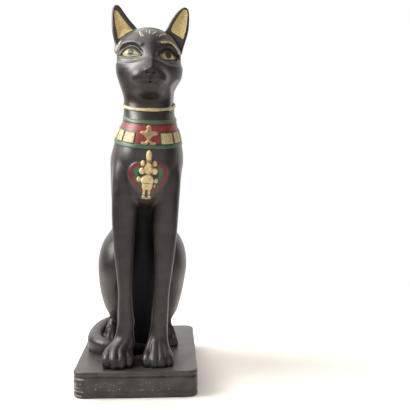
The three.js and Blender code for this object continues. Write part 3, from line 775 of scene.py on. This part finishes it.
# Head: skull, cheeks and muzzle, tall shallow-cupped ears and the neck down to the choker. Eyes, brows, nose
# and mouth are in low relief; the ears are gilt with fine ribs, the eyes and brow lines are painted.
def closed(points, pieces=5):
    points = [points[-1], *points, points[0], points[1]]
    return rounded(points, pieces)[pieces : -pieces]


EYES = {
    -1: closed(
        [(-22.4, 238.0), (-20.8, 239.6), (-19.0, 240.9), (-16.8, 241.8), (-14.2, 241.6), (-12.0, 240.5)]
        + [(-10.0, 238.3), (-8.0, 235.9), (-10.9, 235.2), (-14.8, 234.8), (-18.4, 235.4), (-20.8, 236.7)]
    ),
    1: closed(
        [(7.2, 236.3), (8.7, 238.0), (10.6, 239.4), (13.2, 240.7), (15.6, 240.4), (18.2, 238.6)]
        + [(20.7, 236.0), (18.2, 234.8), (15.1, 234.2), (10.8, 233.9), (7.8, 234.9)]
    ),
}
LIDS = {
    -1: [(-23.0, 237.6), (-20.9, 240.0), (-18.9, 241.3), (-16.6, 242.2), (-14.0, 242.0)]
    + [(-11.7, 240.8), (-9.7, 238.6), (-7.4, 235.2)],
    1: [(6.6, 236.2), (8.4, 238.4), (10.4, 239.9), (13.0, 241.2), (15.8, 240.9)]
    + [(18.6, 239.0), (21.4, 235.6)],
}
IRISES = {-1: (-15.0, 238.7, 2.5), 1: (13.9, 237.7, 2.75)}
EARS = {
    -1: closed(
        [(-26.5, 241), (-27.8, 248.5), (-30.2, 258.5), (-30.9, 268.1), (-30.8, 275.4), (-29.8, 279.0)]
        + [(-27.3, 280.5), (-24.5, 279.1), (-20.8, 274.3), (-16.1, 268.2), (-10.9, 262.4), (-7, 254)]
        + [(-14, 244)]
    ),
    1: closed(
        [(25.0, 242.5), (28.2, 250.5), (31.0, 260.7), (31.9, 268.9), (31.8, 276.8), (30.8, 280.6)]
        + [(28.2, 282.2), (25.0, 280.9), (20.8, 276.4), (17.0, 270.4), (13.2, 262.7), (9, 254), (15, 244)]
    ),
}
LININGS = {
    -1: closed(
        [(-28.9, 274.0), (-28.0, 275.5), (-26.5, 274.9), (-25.0, 273.0), (-20.6, 267.4), (-14.7, 260.7)]
        + [(-15.2, 258.9), (-19.0, 256.8), (-23.9, 252.8), (-25.2, 252.2), (-26.3, 256.5), (-28.3, 266.0)]
    ),
    1: closed(
        [(25.9, 278.6), (27.3, 280.0), (29.2, 279.8), (30.3, 277.4), (30.2, 272.8), (29.3, 264.9)]
        + [(27.3, 256.0), (26.4, 255.2), (24.2, 256.5), (20.0, 259.0), (16.9, 261.9), (19.3, 268.2)]
        + [(23.1, 275.0)]
    ),
}
BROWS = {
    -1: [(-24.8, 241.8), (-23.4, 245.0), (-20.1, 246.6), (-16.4, 246.9), (-12.1, 246.6), (-7.8, 244.6)],
    1: [(7.4, 245.6), (10.4, 247.2), (14.0, 247.7), (17.0, 246.8), (19.8, 244.9)]
    + [(22.2, 242.4), (24.0, 239.4)],
}


def ear_form(p, s):
    inside = inside_line(p[:, 0], p[:, 2], EARS[s])
    lining = inside_line(p[:, 0], p[:, 2], LININGS[s])
    thick = np.interp(p[:, 2], [244, 258, 268, 276, 282], [8.5, 6.4, 4.8, 3.6, 2.8])
    middle = np.interp(p[:, 2], [244, 262, 282], [-5.0, -3.4, -2.0])
    front = middle - thick * 0.9
    back = middle + thick * (0.35 + 0.65 * step_up(0, 7, inside))
    cup = 0.5 * step_up(-0.5, 0.7, lining) + 1.0 * step_up(0, 5, lining)
    faces = np.maximum(front + cup - p[:, 1], p[:, 1] - back)
    return -join(2.2, inside - 0.05, -faces)


def bridge_form(p):
    """The broad bridge of the nose: two flat flanks that meet in a soft ridge right of the middle."""
    heights = [217, 222, 226, 231, 237, 242, 246, 250, 258]
    ridge = np.interp(p[:, 2], heights, [-48, -50.4, -50.4, -47.8, -44.0, -40.3, -37.0, -32.6, -22])
    aside = p[:, 0] - 1.2
    soft = np.interp(p[:, 2], [234, 243], [0.7, 6.0])
    flank = np.where(aside < 0, 0.45, 0.72) * (np.sqrt(aside * aside + soft * soft) - soft)
    flank = flank + 0.05 * aside * aside
    return -join(3.5, (p[:, 1] - ridge - flank) / 1.3, p[:, 2] - 221.0)


def face_relief(x, z):
    lift = np.zeros(len(x))
    for s in (-1, 1):
        eye = inside_line(x, z, EYES[s])
        over = inside_line(x, z - 1.2, EYES[s])
        lift -= 1.5 * step_up(-3.6, -0.9, over)
        lift += 0.45 * bell(eye + 0.6, 0.6)
        lift += 1.1 * bell(stroke(x, z, LIDS[s]), 0.85)
        lift += 1.5 * step_up(-0.1, 2.8, eye)
        lift += 0.95 * bell(stroke(x, z, BROWS[s]), 1.9)
    lift -= 0.5 * bell(stroke(x, z, [(0.1, 219.4), (0.1, 217), (0.0, 214.6)]), 0.6)
    for s in (-1, 1):
        near = stroke(x, z, [(0.0, 214.6), (s * 2.6, 213.9), (s * 5.2, 214.2)])
        far = stroke(x, z, [(s * 5.2, 214.2), (s * 8.2, 214.8), (s * 11.0, 214.4)])
        lift -= 0.34 * bell(near, 0.7) + 0.2 * bell(far, 0.9)
        lift -= 0.9 * bell(stroke(x, z, [(s * 1.9, 220.6), (s * 3.4, 221.6)]), 0.8)
        wing = stroke(x, z, [(s * 1.2, 225.8), (s * 4.4, 223.7), (s * 4.6, 220.9), (s * 1.6, 219.0)])
        lift -= 0.15 * bell(wing, 0.7)
    return lift


FACET_X, FACET_Y, FACET_WAY = 18.6, -24, (0.985, 0.17)  # the flat facet at the right of the neck


def head_form(p):
    skull = join(
        5,
        ball(p, (-0.1, -12.5, 236.4), (25.7, 26.2, 25.4)),
        ball(p, (-10.6, -16.2, 226.8), (12.6, 18.6, 12.8)),
        ball(p, (11.6, -16.2, 227.2), (12.0, 18.6, 12.4)),
        ball(p, (-12.9, -21.3, 227.2), (11.0, 11.0, 11.0)),
        ball(p, (13.4, -21.3, 227.8), (10.6, 11.0, 10.6)),
        ball(p, (0.3, -20, 220.4), (17.4, 19, 12.2)),
    )
    snout = join(
        5,
        limb(p, [[0.2, -18, 226, 17.6], [0.0, -30, 222.6, 13.6], [-0.2, -38.0, 220.0, 10.4]]),
        ball(p, (-0.5, -38.6, 219.4), (13.8, 12.8, 9.4)),
        ball(p, (-6.2, -43.6, 218.6), (7.0, 7.8, 5.8)),
        ball(p, (5.6, -43.6, 218.8), (7.0, 7.8, 5.8)),
    )
    whole = join(10, skull, snout)
    whole = join(4.5, whole, ball(p, (-0.2, -37.8, 211.2), (10.4, 9.2, 6.4)))
    whole = join(6, whole, within(p, (-14, -58, 219), (16, -24, 256), bridge_form, 3))
    whole = join(2.4, whole, ball(p, (-0.1, -50.2, 222.3), (4.6, 2.9, 3.0)))
    neck = within(p, (-24, -44, 190), (26, 16, 226), lambda q: stack(q, TRUNK, 2.5), 8)
    whole = join(9, whole, neck)
    plane = (p[:, 0] - FACET_X) * FACET_WAY[0] - (p[:, 1] - FACET_Y) * FACET_WAY[1]
    plane = plane - 3.0 * step_up(212, 219, p[:, 2]) - 9.0 * step_up(217, 226, p[:, 2])
    whole = carve(1.6, whole, -plane)
    face = p[:, 1] < -20
    lift = np.zeros(len(p), dtype=np.float32)
    lift[face] = (face_relief(p[face, 0], p[face, 2]) * step_up(-20, -25, p[face, 1])).astype(np.float32)
    whole = whole - lift
    whole = join(4.0, whole, within(p, (-33, -14, 242), (34, 8, 284), both(ear_form)))
    return np.maximum(whole, -0.5 - over_choker(p))


OFF_FACE = -20
GILT_LINES = [
    (0.46, [(-8.6, 255.4), (-8.2, 253.4), (-7.5, 251.4)]),
    (0.36, [(-6.9, 253.8), (-6.3, 252.4), (-5.7, 251.2)]),
    (0.36, [(-1.1, 256.6), (-1.2, 253.8)]),
    (0.42, [(1.5, 253.3), (2.8, 254.8), (4.0, 255.6)]),
    (0.46, [(6.7, 252.0), (8.6, 254.0), (11.8, 255.0)]),
    (0.2, [(-3.6, 256.2), (-3.4, 254.4)]),
    (0.2, [(4.4, 251.6), (5.4, 253.0)]),
    (0.75, [(8.4, 246.6), (10.8, 247.2), (14.1, 247.8), (16.9, 247.0)]
     + [(19.7, 245.0), (21.8, 242.7), (23.0, 240.4)]),
    (0.55, [(21.6, 248.5), (24.0, 246.4), (25.8, 243.8)]),
]
TEMPLE = [(-12.5, 250), (-13.0, 244), (-13.4, 238), (-13.6, 231)]
RIB_PITCH, RIB_SLANT = 1.75, 0.4

head, spots = sculpt("head", head_form, (-33, -58, 186), (35, 20, 284), 0.5, 196000)
x, y, z = spots.T
facing = np.where(y < -18, 0, OFF_FACE)
lining = np.max([inside_line(x, z, LININGS[s]) for s in (-1, 1)], axis=0)
drawn = np.max([half - stroke(x, z, line) for half, line in GILT_LINES], axis=0)
temple = 0.3 - stroke(y, z, TEMPLE)
eye = np.max([inside_line(x, z, EYES[s]) for s in (-1, 1)], axis=0)
lid = np.min([stroke(x, z, LIDS[s]) for s in (-1, 1)], axis=0)
iris = np.max([IRISES[s][2] - np.hypot(x - IRISES[s][0], z - IRISES[s][1]) for s in (-1, 1)], axis=0)
nose = np.maximum(2.9 - np.hypot(x / 1.5, z - 222.2), 0.3 - stroke(x, z, [(0.1, 219.4), (0.0, 214.6)]))
mark(head.data, "lining", np.where(y < -2.5, lining, -9))
mark(head.data, "gilt_lines", np.maximum(np.where(y < -20, drawn, -9), np.where(x < -20, temple, -9)))
mark(head.data, "eye", eye + facing)
mark(head.data, "lid", np.maximum(0.95 - lid, eye + 0.5) + facing)
# Distance to the lid line, for the painted shadow of the upper lid.
mark(head.data, "under_lid", lid)
mark(head.data, "iris", iris + facing)
mark(head.data, "aside", x - 0.2)
mark(head.data, "nose", nose + facing)
mark(head.data, "ribs", z * math.cos(RIB_SLANT) + np.abs(x) * math.sin(RIB_SLANT))
material, tree, shader, resin = resin_material("head_resin", 0.1)
hollow, aside, iris = (mark_of(tree, title) for title in ("hollow", "aside", "iris"))
# The nose is painted near-black, and the groove from it down to the mouth is darkened too, painted shade.
nose_dark = times(edge_mask(mark_of(tree, "nose"), 0.0, 0.6, 0.7), 0.7)
colour = blend_in(nose_dark, resin, (0.0035, 0.003, 0.0032, 1))

wave = maths("SINE", times(mark_of(tree, "ribs"), 2 * math.pi / RIB_PITCH))
gold = hand_paint(tree, (0.62, 0.50, 0.19), (0.36, 0.26, 0.09), hollow)["Color"]
gold = blend_in(times(plus(times(wave, -0.5), 0.5), 0.6), gold, (0.33, 0.21, 0.085, 1))
in_ear = edge_mask(mark_of(tree, "lining"), 0.1, 0.7, 0.25)
colour = blend_in(in_ear, colour, gold)
bump = shader.inputs["Normal"].links[0].from_node
grain = bump.inputs["Height"].links[0].from_socket
tree.links.new(plus(grain, times(times(in_ear, wave), 0.9)), bump.inputs["Height"])

pale = hand_paint(tree, (0.50, 0.42, 0.24), (0.16, 0.12, 0.06))["Color"]
colour = blend_in(edge_mask(mark_of(tree, "gilt_lines"), 0.0, 0.9, 0.3), colour, pale)
lid = edge_mask(mark_of(tree, "lid"), 0.0, 0.4, 0.3)
colour = blend_in(lid, colour, (0.004, 0.0035, 0.004, 1))
corner = ramp(away(aside, 0.0), 11.5, 8.5)
white = blend_in(corner, (0.50, 0.46, 0.27, 1), (0.27, 0.18, 0.09, 1))
# Painted shadow of the upper lid across the top of each eye white.
shade = ramp(mark_of(tree, "under_lid"), 2.4, 0.9, 0.0, 0.85)
white = blend_in(shade, white, (0.14, 0.11, 0.055, 1))
in_eye = edge_mask(mark_of(tree, "eye"), 0.3, 0.25, 0.22)
colour = blend_in(in_eye, colour, white)
right = ramp(aside, -1.0, 1.0)
ring = blend_in(right, (0.040, 0.038, 0.024, 1), (0.050, 0.020, 0.012, 1))
colour = blend_in(times(in_eye, edge_mask(iris, 0.0, 0.25, 0.2)), colour, ring)
pupil = blend_in(right, (0.008, 0.008, 0.007, 1), (0.008, 0.004, 0.003, 1))
colour = blend_in(times(in_eye, edge_mask(iris, 1.3, 0.15, 0.2)), colour, pupil)
tree.links.new(colour, shader.inputs["Base Color"])
rough = shader.inputs["Roughness"].links[0].from_socket
dull = maths("MAXIMUM", times(maths("MAXIMUM", lid, nose_dark), 0.5), rough)
tree.links.new(dull, shader.inputs["Roughness"])
finish(head, material)

# Choker: a thin gilt cord round the neck, a little uneven, with a small knot right of the middle. Places on
# it and on the collar are an angle round the neck, a height across the band and a lift off the skin.
NECK_BACK = -13
FURTHEST = 60.0


def to_skin(point_at, count, near, rounds):
    """How far out points leave the torso; each round halves the gap between near and far."""
    near = np.full(count, near)
    far = np.full(count, FURTHEST)
    for _ in range(rounds):
        middle = (near + far) / 2
        inside = torso_form(point_at(middle).astype(np.float32)) < 0
        near = np.where(inside, middle, near)
        far = np.where(inside, far, middle)
    return near


def neck_place(tilt, level, roll):
    a = math.radians(tilt)
    b = math.tan(math.radians(roll))

    def place(angle, height, lift):
        angle, height, lift = np.broadcast_arrays(angle, height, lift)
        down = -np.cos(angle) * math.sin(a) + np.sin(angle) * b
        way = np.stack([np.sin(angle), -np.cos(angle) * math.cos(a), down], axis=-1)
        way = way / length(way)[:, None]
        rise = height[..., None] * np.array([0, -math.sin(a), math.cos(a)])
        axis = np.array([MID, NECK_BACK, level]) + rise
        near = to_skin(lambda out: axis + way * out[:, None], len(axis), 0.0, 18)
        return axis + way * (near + lift)[:, None]

    return place


def ring_mesh(name, place, section, count):
    """A closed ring from a section of heights and lifts, each given for one angle."""
    angles = np.arange(count) / count * 2 * np.pi
    rows = [section(angle) for angle in angles]
    around = len(rows[0])
    flat = np.array(rows).reshape(-1, 2)
    points = placed(place(angles.repeat(around), flat[:, 0], flat[:, 1]))
    i, j = np.meshgrid(np.arange(count), np.arange(around), indexing="ij")
    i2, j2 = (i + 1) % count, (j + 1) % around
    corners = [i * around + j, i * around + j2, i2 * around + j2, i2 * around + j]
    mesh = mesh_of(name, points / 1000, np.stack(corners, axis=-1).reshape(-1, 4))
    mesh.shade_smooth()
    return mesh, flat, angles.repeat(around)


def paint_material(name, light, dark, roughness):
    """Thick hand paint all over a raised piece, dark where it was left thin, with painted shade in its
    hollows.
    """
    material, tree, shader = new_material(name)
    paint = hand_paint(tree, light, dark, mark_of(tree, "hollow"))
    shader.inputs["Roughness"].default_value = roughness
    bump = node(tree, "ShaderNodeBump", Strength=0.5, Distance=0.0002, Height=paint["Height"])
    tree.links.new(paint["Color"], shader.inputs["Base Color"])
    tree.links.new(bump.outputs[0], shader.inputs["Normal"])
    return material


CHOKER_R, KNOT_AT, KNOT_WIDE = 1.25, 0.72, 0.07


def choker_section(angle):
    knot = 0.5 * math.exp(-(((angle - KNOT_AT) / KNOT_WIDE) ** 2))
    radius = CHOKER_R * (1 + 0.08 * math.sin(angle * 7 + 1) + knot)
    turns = np.arange(14) / 14 * 2 * np.pi
    return [(radius * math.cos(t), radius * (math.sin(t) - 0.1)) for t in turns]


mesh, flat, _ = ring_mesh("choker", neck_place(CHOKER_TILT, CHOKER_LEVEL, CHOKER_ROLL), choker_section, 260)
# Painted shade: the cord's side towards the neck is darker.
mark(mesh, "hollow", np.clip(0.5 - flat[:, 1] * 0.6, 0, 1))
finish(object_of(mesh), paint_material("choker_gilt", (0.56, 0.48, 0.26), (0.13, 0.10, 0.05), 0.42))

# Collar: a broad band laid round the neck with a raised green rim at each edge, a red field above the row of
# tiles and a red square behind the motif; the ground between the tiles is dark.
COLLAR_TILT, COLLAR_LEVEL, COLLAR_ROLL, COLLAR_HALF = 10.6, 181.6, 0.9, 10
on_collar = neck_place(COLLAR_TILT, COLLAR_LEVEL, COLLAR_ROLL)
turns = np.arange(721) / 720 * 2 * np.pi
path = on_collar(turns, np.zeros(721), np.zeros(721))
run = np.concatenate([[0], np.cumsum(length(np.diff(path, axis=0)))])


def on_arc(arc, height, lift):
    return on_collar(np.interp(np.mod(arc, run[-1]), run, turns), height, lift)


def collar_section(_):
    heights = np.linspace(-COLLAR_HALF, COLLAR_HALF, 61)
    lift = 0.35 + 0.5 * (1 - step_up(-7.5, -6.7, heights)) + 0.5 * step_up(7.1, 7.9, heights)
    fall = np.clip((np.abs(heights) - 9.2) / 0.8, 0, 1)
    lift = lift - 0.6 * (1 - np.sqrt(1 - fall**2))
    return [*zip(heights, lift), (10.05, -0.6), (10.0, -1.8), (0.0, -1.8), (-10.0, -1.8), (-10.05, -0.6)]


mesh, flat, angles = ring_mesh("collar", on_collar, collar_section, 300)
arc = np.interp(angles, turns, run)
arc = np.where(arc > run[-1] / 2, arc - run[-1], arc)
mark(mesh, "across", flat[:, 0])
mark(mesh, "along", arc)
# Painted shade at the foot of each green rim.
mark(mesh, "hollow", np.clip(0.6 - flat[:, 1] * 0.5, 0, 1) * (np.abs(np.abs(flat[:, 0]) - 7) < 0.7))
material = paint_material("collar_paint", (0.030, 0.030, 0.022), (0.010, 0.010, 0.009), 0.45)
tree = material.node_tree
base = tree.nodes["Principled BSDF"].inputs["Base Color"]
across, along, hollow = (mark_of(tree, title) for title in ("across", "along", "hollow"))
red = hand_paint(tree, (0.23, 0.017, 0.017), (0.062, 0.007, 0.007), hollow)["Color"]
green = hand_paint(tree, (0.055, 0.120, 0.052), (0.012, 0.036, 0.020), hollow)["Color"]
field = minus(2.75, away(across, 5.0))
square = maths("MINIMUM", minus(4.7, away(across, -2.6)), minus(8.9, away(along, -1.25)))
rims = minus(away(across, 0.35), 7.35)
colour = base.links[0].from_socket
colour = blend_in(edge_mask(maths("MAXIMUM", field, square), 0.0, 0.6, 0.2), colour, red)
colour = blend_in(edge_mask(rims, 0.0, 0.6, 0.2), colour, green)
tree.links.new(colour, base)
finish(object_of(mesh), material)

# Collar tiles: raised square plates round the collar, painted pale gold, each a little uneven and ribbed.
# The row starts and ends beside the red square.
SQUARE_LEFT, SQUARE_RIGHT = 10.1, 7.6
TILE_PITCH, TILE_GAP, TILE_TALL, TILE_ROW = 11.8, 1.4, 8.2, -2.8
TILE_LIFT, TILE_EDGE, TILE_RIBS, TILE_CELLS = 0.9, 0.9, 1.6, 30
tiled = run[-1] - SQUARE_LEFT - SQUARE_RIGHT
places = round(tiled / TILE_PITCH)
pitch = tiled / places
grid = np.linspace(-1, 1, TILE_CELLS + 1)
u, v = [m.ravel() for m in np.meshgrid(grid, grid, indexing="ij")]
a, b = [m.ravel() for m in np.meshgrid(np.arange(TILE_CELLS), np.arange(TILE_CELLS), indexing="ij")]
cell = a * len(grid) + b
corners = np.stack([cell, cell + len(grid), cell + len(grid) + 1, cell + 1], axis=-1)
points, faces, tile_shade = [], [], []
for i in range(places):
    middle = SQUARE_RIGHT + (i + 0.5) * pitch
    wide = (pitch - TILE_GAP) / 2 * (1 + 0.03 * math.sin(i * 2.1))
    high = TILE_TALL / 2 * (1 + 0.03 * math.sin(i * 3.7))
    edge = np.minimum((1 - np.abs(u)) * wide, (1 - np.abs(v)) * high)
    ribs = np.cos(u * wide * 2 * np.pi / TILE_RIBS)
    lift = 0.2 + TILE_LIFT * np.sqrt(1 - (1 - np.clip(edge / TILE_EDGE, 0, 1)) ** 2) + 0.06 * ribs
    lift = np.where(edge < 1e-6, -0.4, lift)
    faces.append(len(points) * len(u) + corners)
    points.append(placed(on_arc(middle + u * wide, TILE_ROW + v * high, lift)))
    # Painted shade: darker at each tile's sloping edges and in the troughs of its ribs.
    tile_shade.append(np.where(edge < 0.5, 0.8, 0.12 - 0.12 * ribs))
mesh = mesh_of("collar_tiles", np.concatenate(points) / 1000, np.concatenate(faces))
mesh.shade_smooth()
mark(mesh, "hollow", np.concatenate(tile_shade))
finish(object_of(mesh), paint_material("tile_gilt", (0.52, 0.45, 0.25), (0.22, 0.16, 0.07), 0.5))

# Collar motif: a small upright shape with spread arms and two feet, raised in front of the red square. It is
# modelled flat and laid on the collar by its run along the band and its height across it.
MOTIF = closed(
    [(-1.5, -2.4), (-2.2, -4.0), (-4.9, -4.3), (-4.9, -6.4), (-0.8, -6.5), (0.2, -5.0), (1.2, -6.5)]
    + [(5.1, -6.4), (5.0, -4.3), (2.4, -4.0), (1.8, -2.4), (3.6, -0.4), (6.8, 0.6), (6.6, 2.8), (2.8, 3.6)]
    + [(2.2, 6.4), (0.2, 7.7), (-1.9, 6.4), (-2.4, 3.6), (-5.8, 3.2), (-6.6, 1.2), (-3.4, -0.4)],
    3,
)


def motif_form(p):
    inside = inside_line(p[:, 0], p[:, 1], MOTIF)
    top = 0.6 + 1.4 * (1 - np.exp(-np.maximum(inside, 0) / 0.9))
    return np.maximum(np.maximum(-inside, p[:, 2] - top), -0.5 - p[:, 2])


def on_square(p):
    return placed(on_arc(p[:, 0] - 0.5, p[:, 1] - 0.6, p[:, 2]))


motif, _ = sculpt("collar_motif", motif_form, (-8, -8, -1), (8, 9, 3.5), 0.28, 24000, on_square, settle=0)
finish(motif, paint_material("motif_gilt", (0.38, 0.26, 0.125), (0.15, 0.08, 0.04), 0.5))

# Pendant: a small standing figure in a tall crown and kilt, arms crossed, with a plain face. It is modelled
# flat and laid on the chest's skin, over the heart.
KILT = closed(
    [(-2.3, 145.4), (1.2, 145.4), (3.9, 142.2), (4.2, 139.2), (3.4, 138.4), (2.6, 134.0), (-1.0, 133.5)]
    + [(-4.4, 134.0), (-4.9, 138.4), (-5.8, 139.2), (-5.6, 142.2)],
    3,
)


def pendant_form(p):
    forms = [
        limb(p, [[0, -0.2, 157.4, 2.1], [0, -0.2, 160.4, 2.15], [0, 0, 162.4, 1.3]]),
        ball(p, (0, -1.3, 157.2), (1.5, 1.3, 1.8)),
        ball(p, (0, 0.1, 155.4), (2.3, 1.6, 2.0)),
        ball(p, (-0.2, -0.2, 149.6), (3.6, 1.9, 4.6)),
        ball(p, (0.1, -1.8, 151.6), (1.9, 0.9, 2.5)),
        ball(p, (-7.1, 0.3, 141.6), (1.9, 1.2, 2.2)),
        ball(p, (5.7, 0.3, 140.6), (1.6, 1.1, 1.9)),
        limb(p, [[4.7, 0.3, 137.0, 0.8], [4.9, 0.4, 133.6, 0.8]]),
        ball(p, (-1.0, 0.3, 127.2), (4.2, 1.0, 0.9)),
    ]
    for s in (-1, 1):
        forms.append(ball(p, (s * 4.3, -0.3, 153.4), (1.9, 1.6, 2.4)))
        forms.append(ball(p, (s * 4.7 - 0.2, -0.5, 147.8), (2.3, 1.6, 2.7)))
        forms.append(limb(p, [[s * 1.9 - 1.1, 0, 134.0, 1.2], [s * 1.9 - 1.1, 0.1, 129.4, 1.05]]))
        forms.append(ball(p, (s * 2.1 - 1.1, -0.7, 128.3), (1.4, 1.3, 0.9)))
    whole = join(0.6, *forms)
    inside = inside_line(p[:, 0], p[:, 2], KILT)
    top = 0.5 + 1.3 * (1 - np.exp(-np.maximum(inside, 0) / 0.7))
    top = top - 0.35 * bell(p[:, 2] - 138.6, 0.35)
    top = top + 0.45 * bell(p[:, 2] - 140.6, 0.6)
    whole = join(0.5, whole, np.maximum(-inside, -p[:, 1] - top))
    whole = carve(0.5, whole, ball(p, (-0.2, -2.9, 143.6), (2.6, 1.1, 1.1)))
    return np.maximum(whole, p[:, 1] - 1.2)


def on_chest(p):
    """Places in front of the chest: x and height as they are, y from the chest's skin."""
    x = p[:, 0] + 1
    near = to_skin(lambda out: np.stack([x, -out, p[:, 2]], axis=1), len(p), 10.0, 16)
    return placed(np.stack([x, p[:, 1] - near, p[:, 2]], axis=1))


low, high = (-10.5, -4, 124), (10.5, 2, 165.5)
pendant, _ = sculpt("pendant", pendant_form, low, high, 0.3, 60000, on_chest, settle=0)
finish(pendant, paint_material("pendant_gilt", (0.70, 0.58, 0.30), (0.26, 0.17, 0.07), 0.42))

# Camera, floor and light: a round white floor, a soft key from the upper left, a broad light overhead, and
# walls that are bright in front and behind and dim at the sides. The camera sees them plain white.
camera = bpy.data.objects.new("camera", bpy.data.cameras.new("camera"))
camera.data.sensor_width = 36.0
camera.data.lens = 57.07
camera.location = (0.02946, -0.54137, 0.17447)
camera.rotation_euler = (math.radians(90 - 3.777), 0.0, math.radians(-2.687))
bpy.context.scene.collection.objects.link(camera)
bpy.context.scene.camera = camera

FLOOR_R, FLOOR_SIDES = 0.5, 96
turns = np.arange(FLOOR_SIDES) / FLOOR_SIDES * 2 * np.pi
rim = np.stack([np.cos(turns), np.sin(turns), 0 * turns], axis=1) * FLOOR_R
floor = object_of(mesh_of("floor", rim, np.arange(FLOOR_SIDES)[None, :]))
white, _, paper = new_material("white_floor")
paper.inputs["Base Color"].default_value = (0.92, 0.88, 0.82, 1)
paper.inputs["Roughness"].default_value = 0.9
floor.data.materials.append(white)
floor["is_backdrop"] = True


def soft_light(name, place, aim, size, power, colour, beam):
    lamp = bpy.data.lights.new(name, "AREA")
    lamp.shape = "RECTANGLE"
    lamp.size, lamp.size_y = size
    lamp.energy = power
    lamp.color = colour
    lamp.spread = math.radians(beam)
    holder = bpy.data.objects.new(name, lamp)
    holder.location = place
    holder.rotation_euler = Vector(np.subtract(aim, place)).to_track_quat("-Z", "Y").to_euler()
    bpy.context.scene.collection.objects.link(holder)


soft_light("key", (-0.52, -0.02, 0.62), (0, 0, 0.285), (0.60, 0.50), 1.9, (1.0, 0.98, 0.95), 60)
soft_light("top", (-0.42, 0.22, 0.95), (0, 0, 0), (1.3, 1.1), 10.0, (1.0, 0.99, 0.97), 180)

WALL_DIM, WALL_BRIGHT, WALL_FROM, WALL_TO = 0.18, 1.35, 0.4, 1.0
WALL_TURN = (0.17, 0.15, 0.25)
world = bpy.data.worlds.new("studio")
world.use_nodes = True
tree = world.node_tree
walls = tree.nodes["Background"]
walls.inputs["Color"].default_value = (1.0, 0.96, 0.935, 1)
outward = node(tree, "ShaderNodeTexCoord").outputs["Generated"]
depth = maths("ABSOLUTE", node(tree, "ShaderNodeSeparateXYZ", Vector=outward).outputs["Y"])
turn = node(tree, "ShaderNodeVectorMath", {"operation": "DOT_PRODUCT"}, _0=outward, _1=WALL_TURN)
ahead = plus(depth, turn.outputs["Value"])
fade = ramp(ahead, WALL_FROM, WALL_TO, WALL_DIM, WALL_BRIGHT, kind="SMOOTHSTEP")
tree.links.new(fade, walls.inputs["Strength"])
plain = node(tree, "ShaderNodeBackground", Color=(1.0, 1.0, 1.0, 1), Strength=1.0)
seen = node(tree, "ShaderNodeLightPath").outputs["Is Camera Ray"]
mixed = node(tree, "ShaderNodeMixShader", _0=seen, _1=walls.outputs[0], _2=plain.outputs[0])
tree.links.new(mixed.outputs[0], tree.nodes["World Output"].inputs["Surface"])
bpy.context.scene.world = world
bpy.context.scene.view_settings.view_transform = "Standard"

low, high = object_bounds()
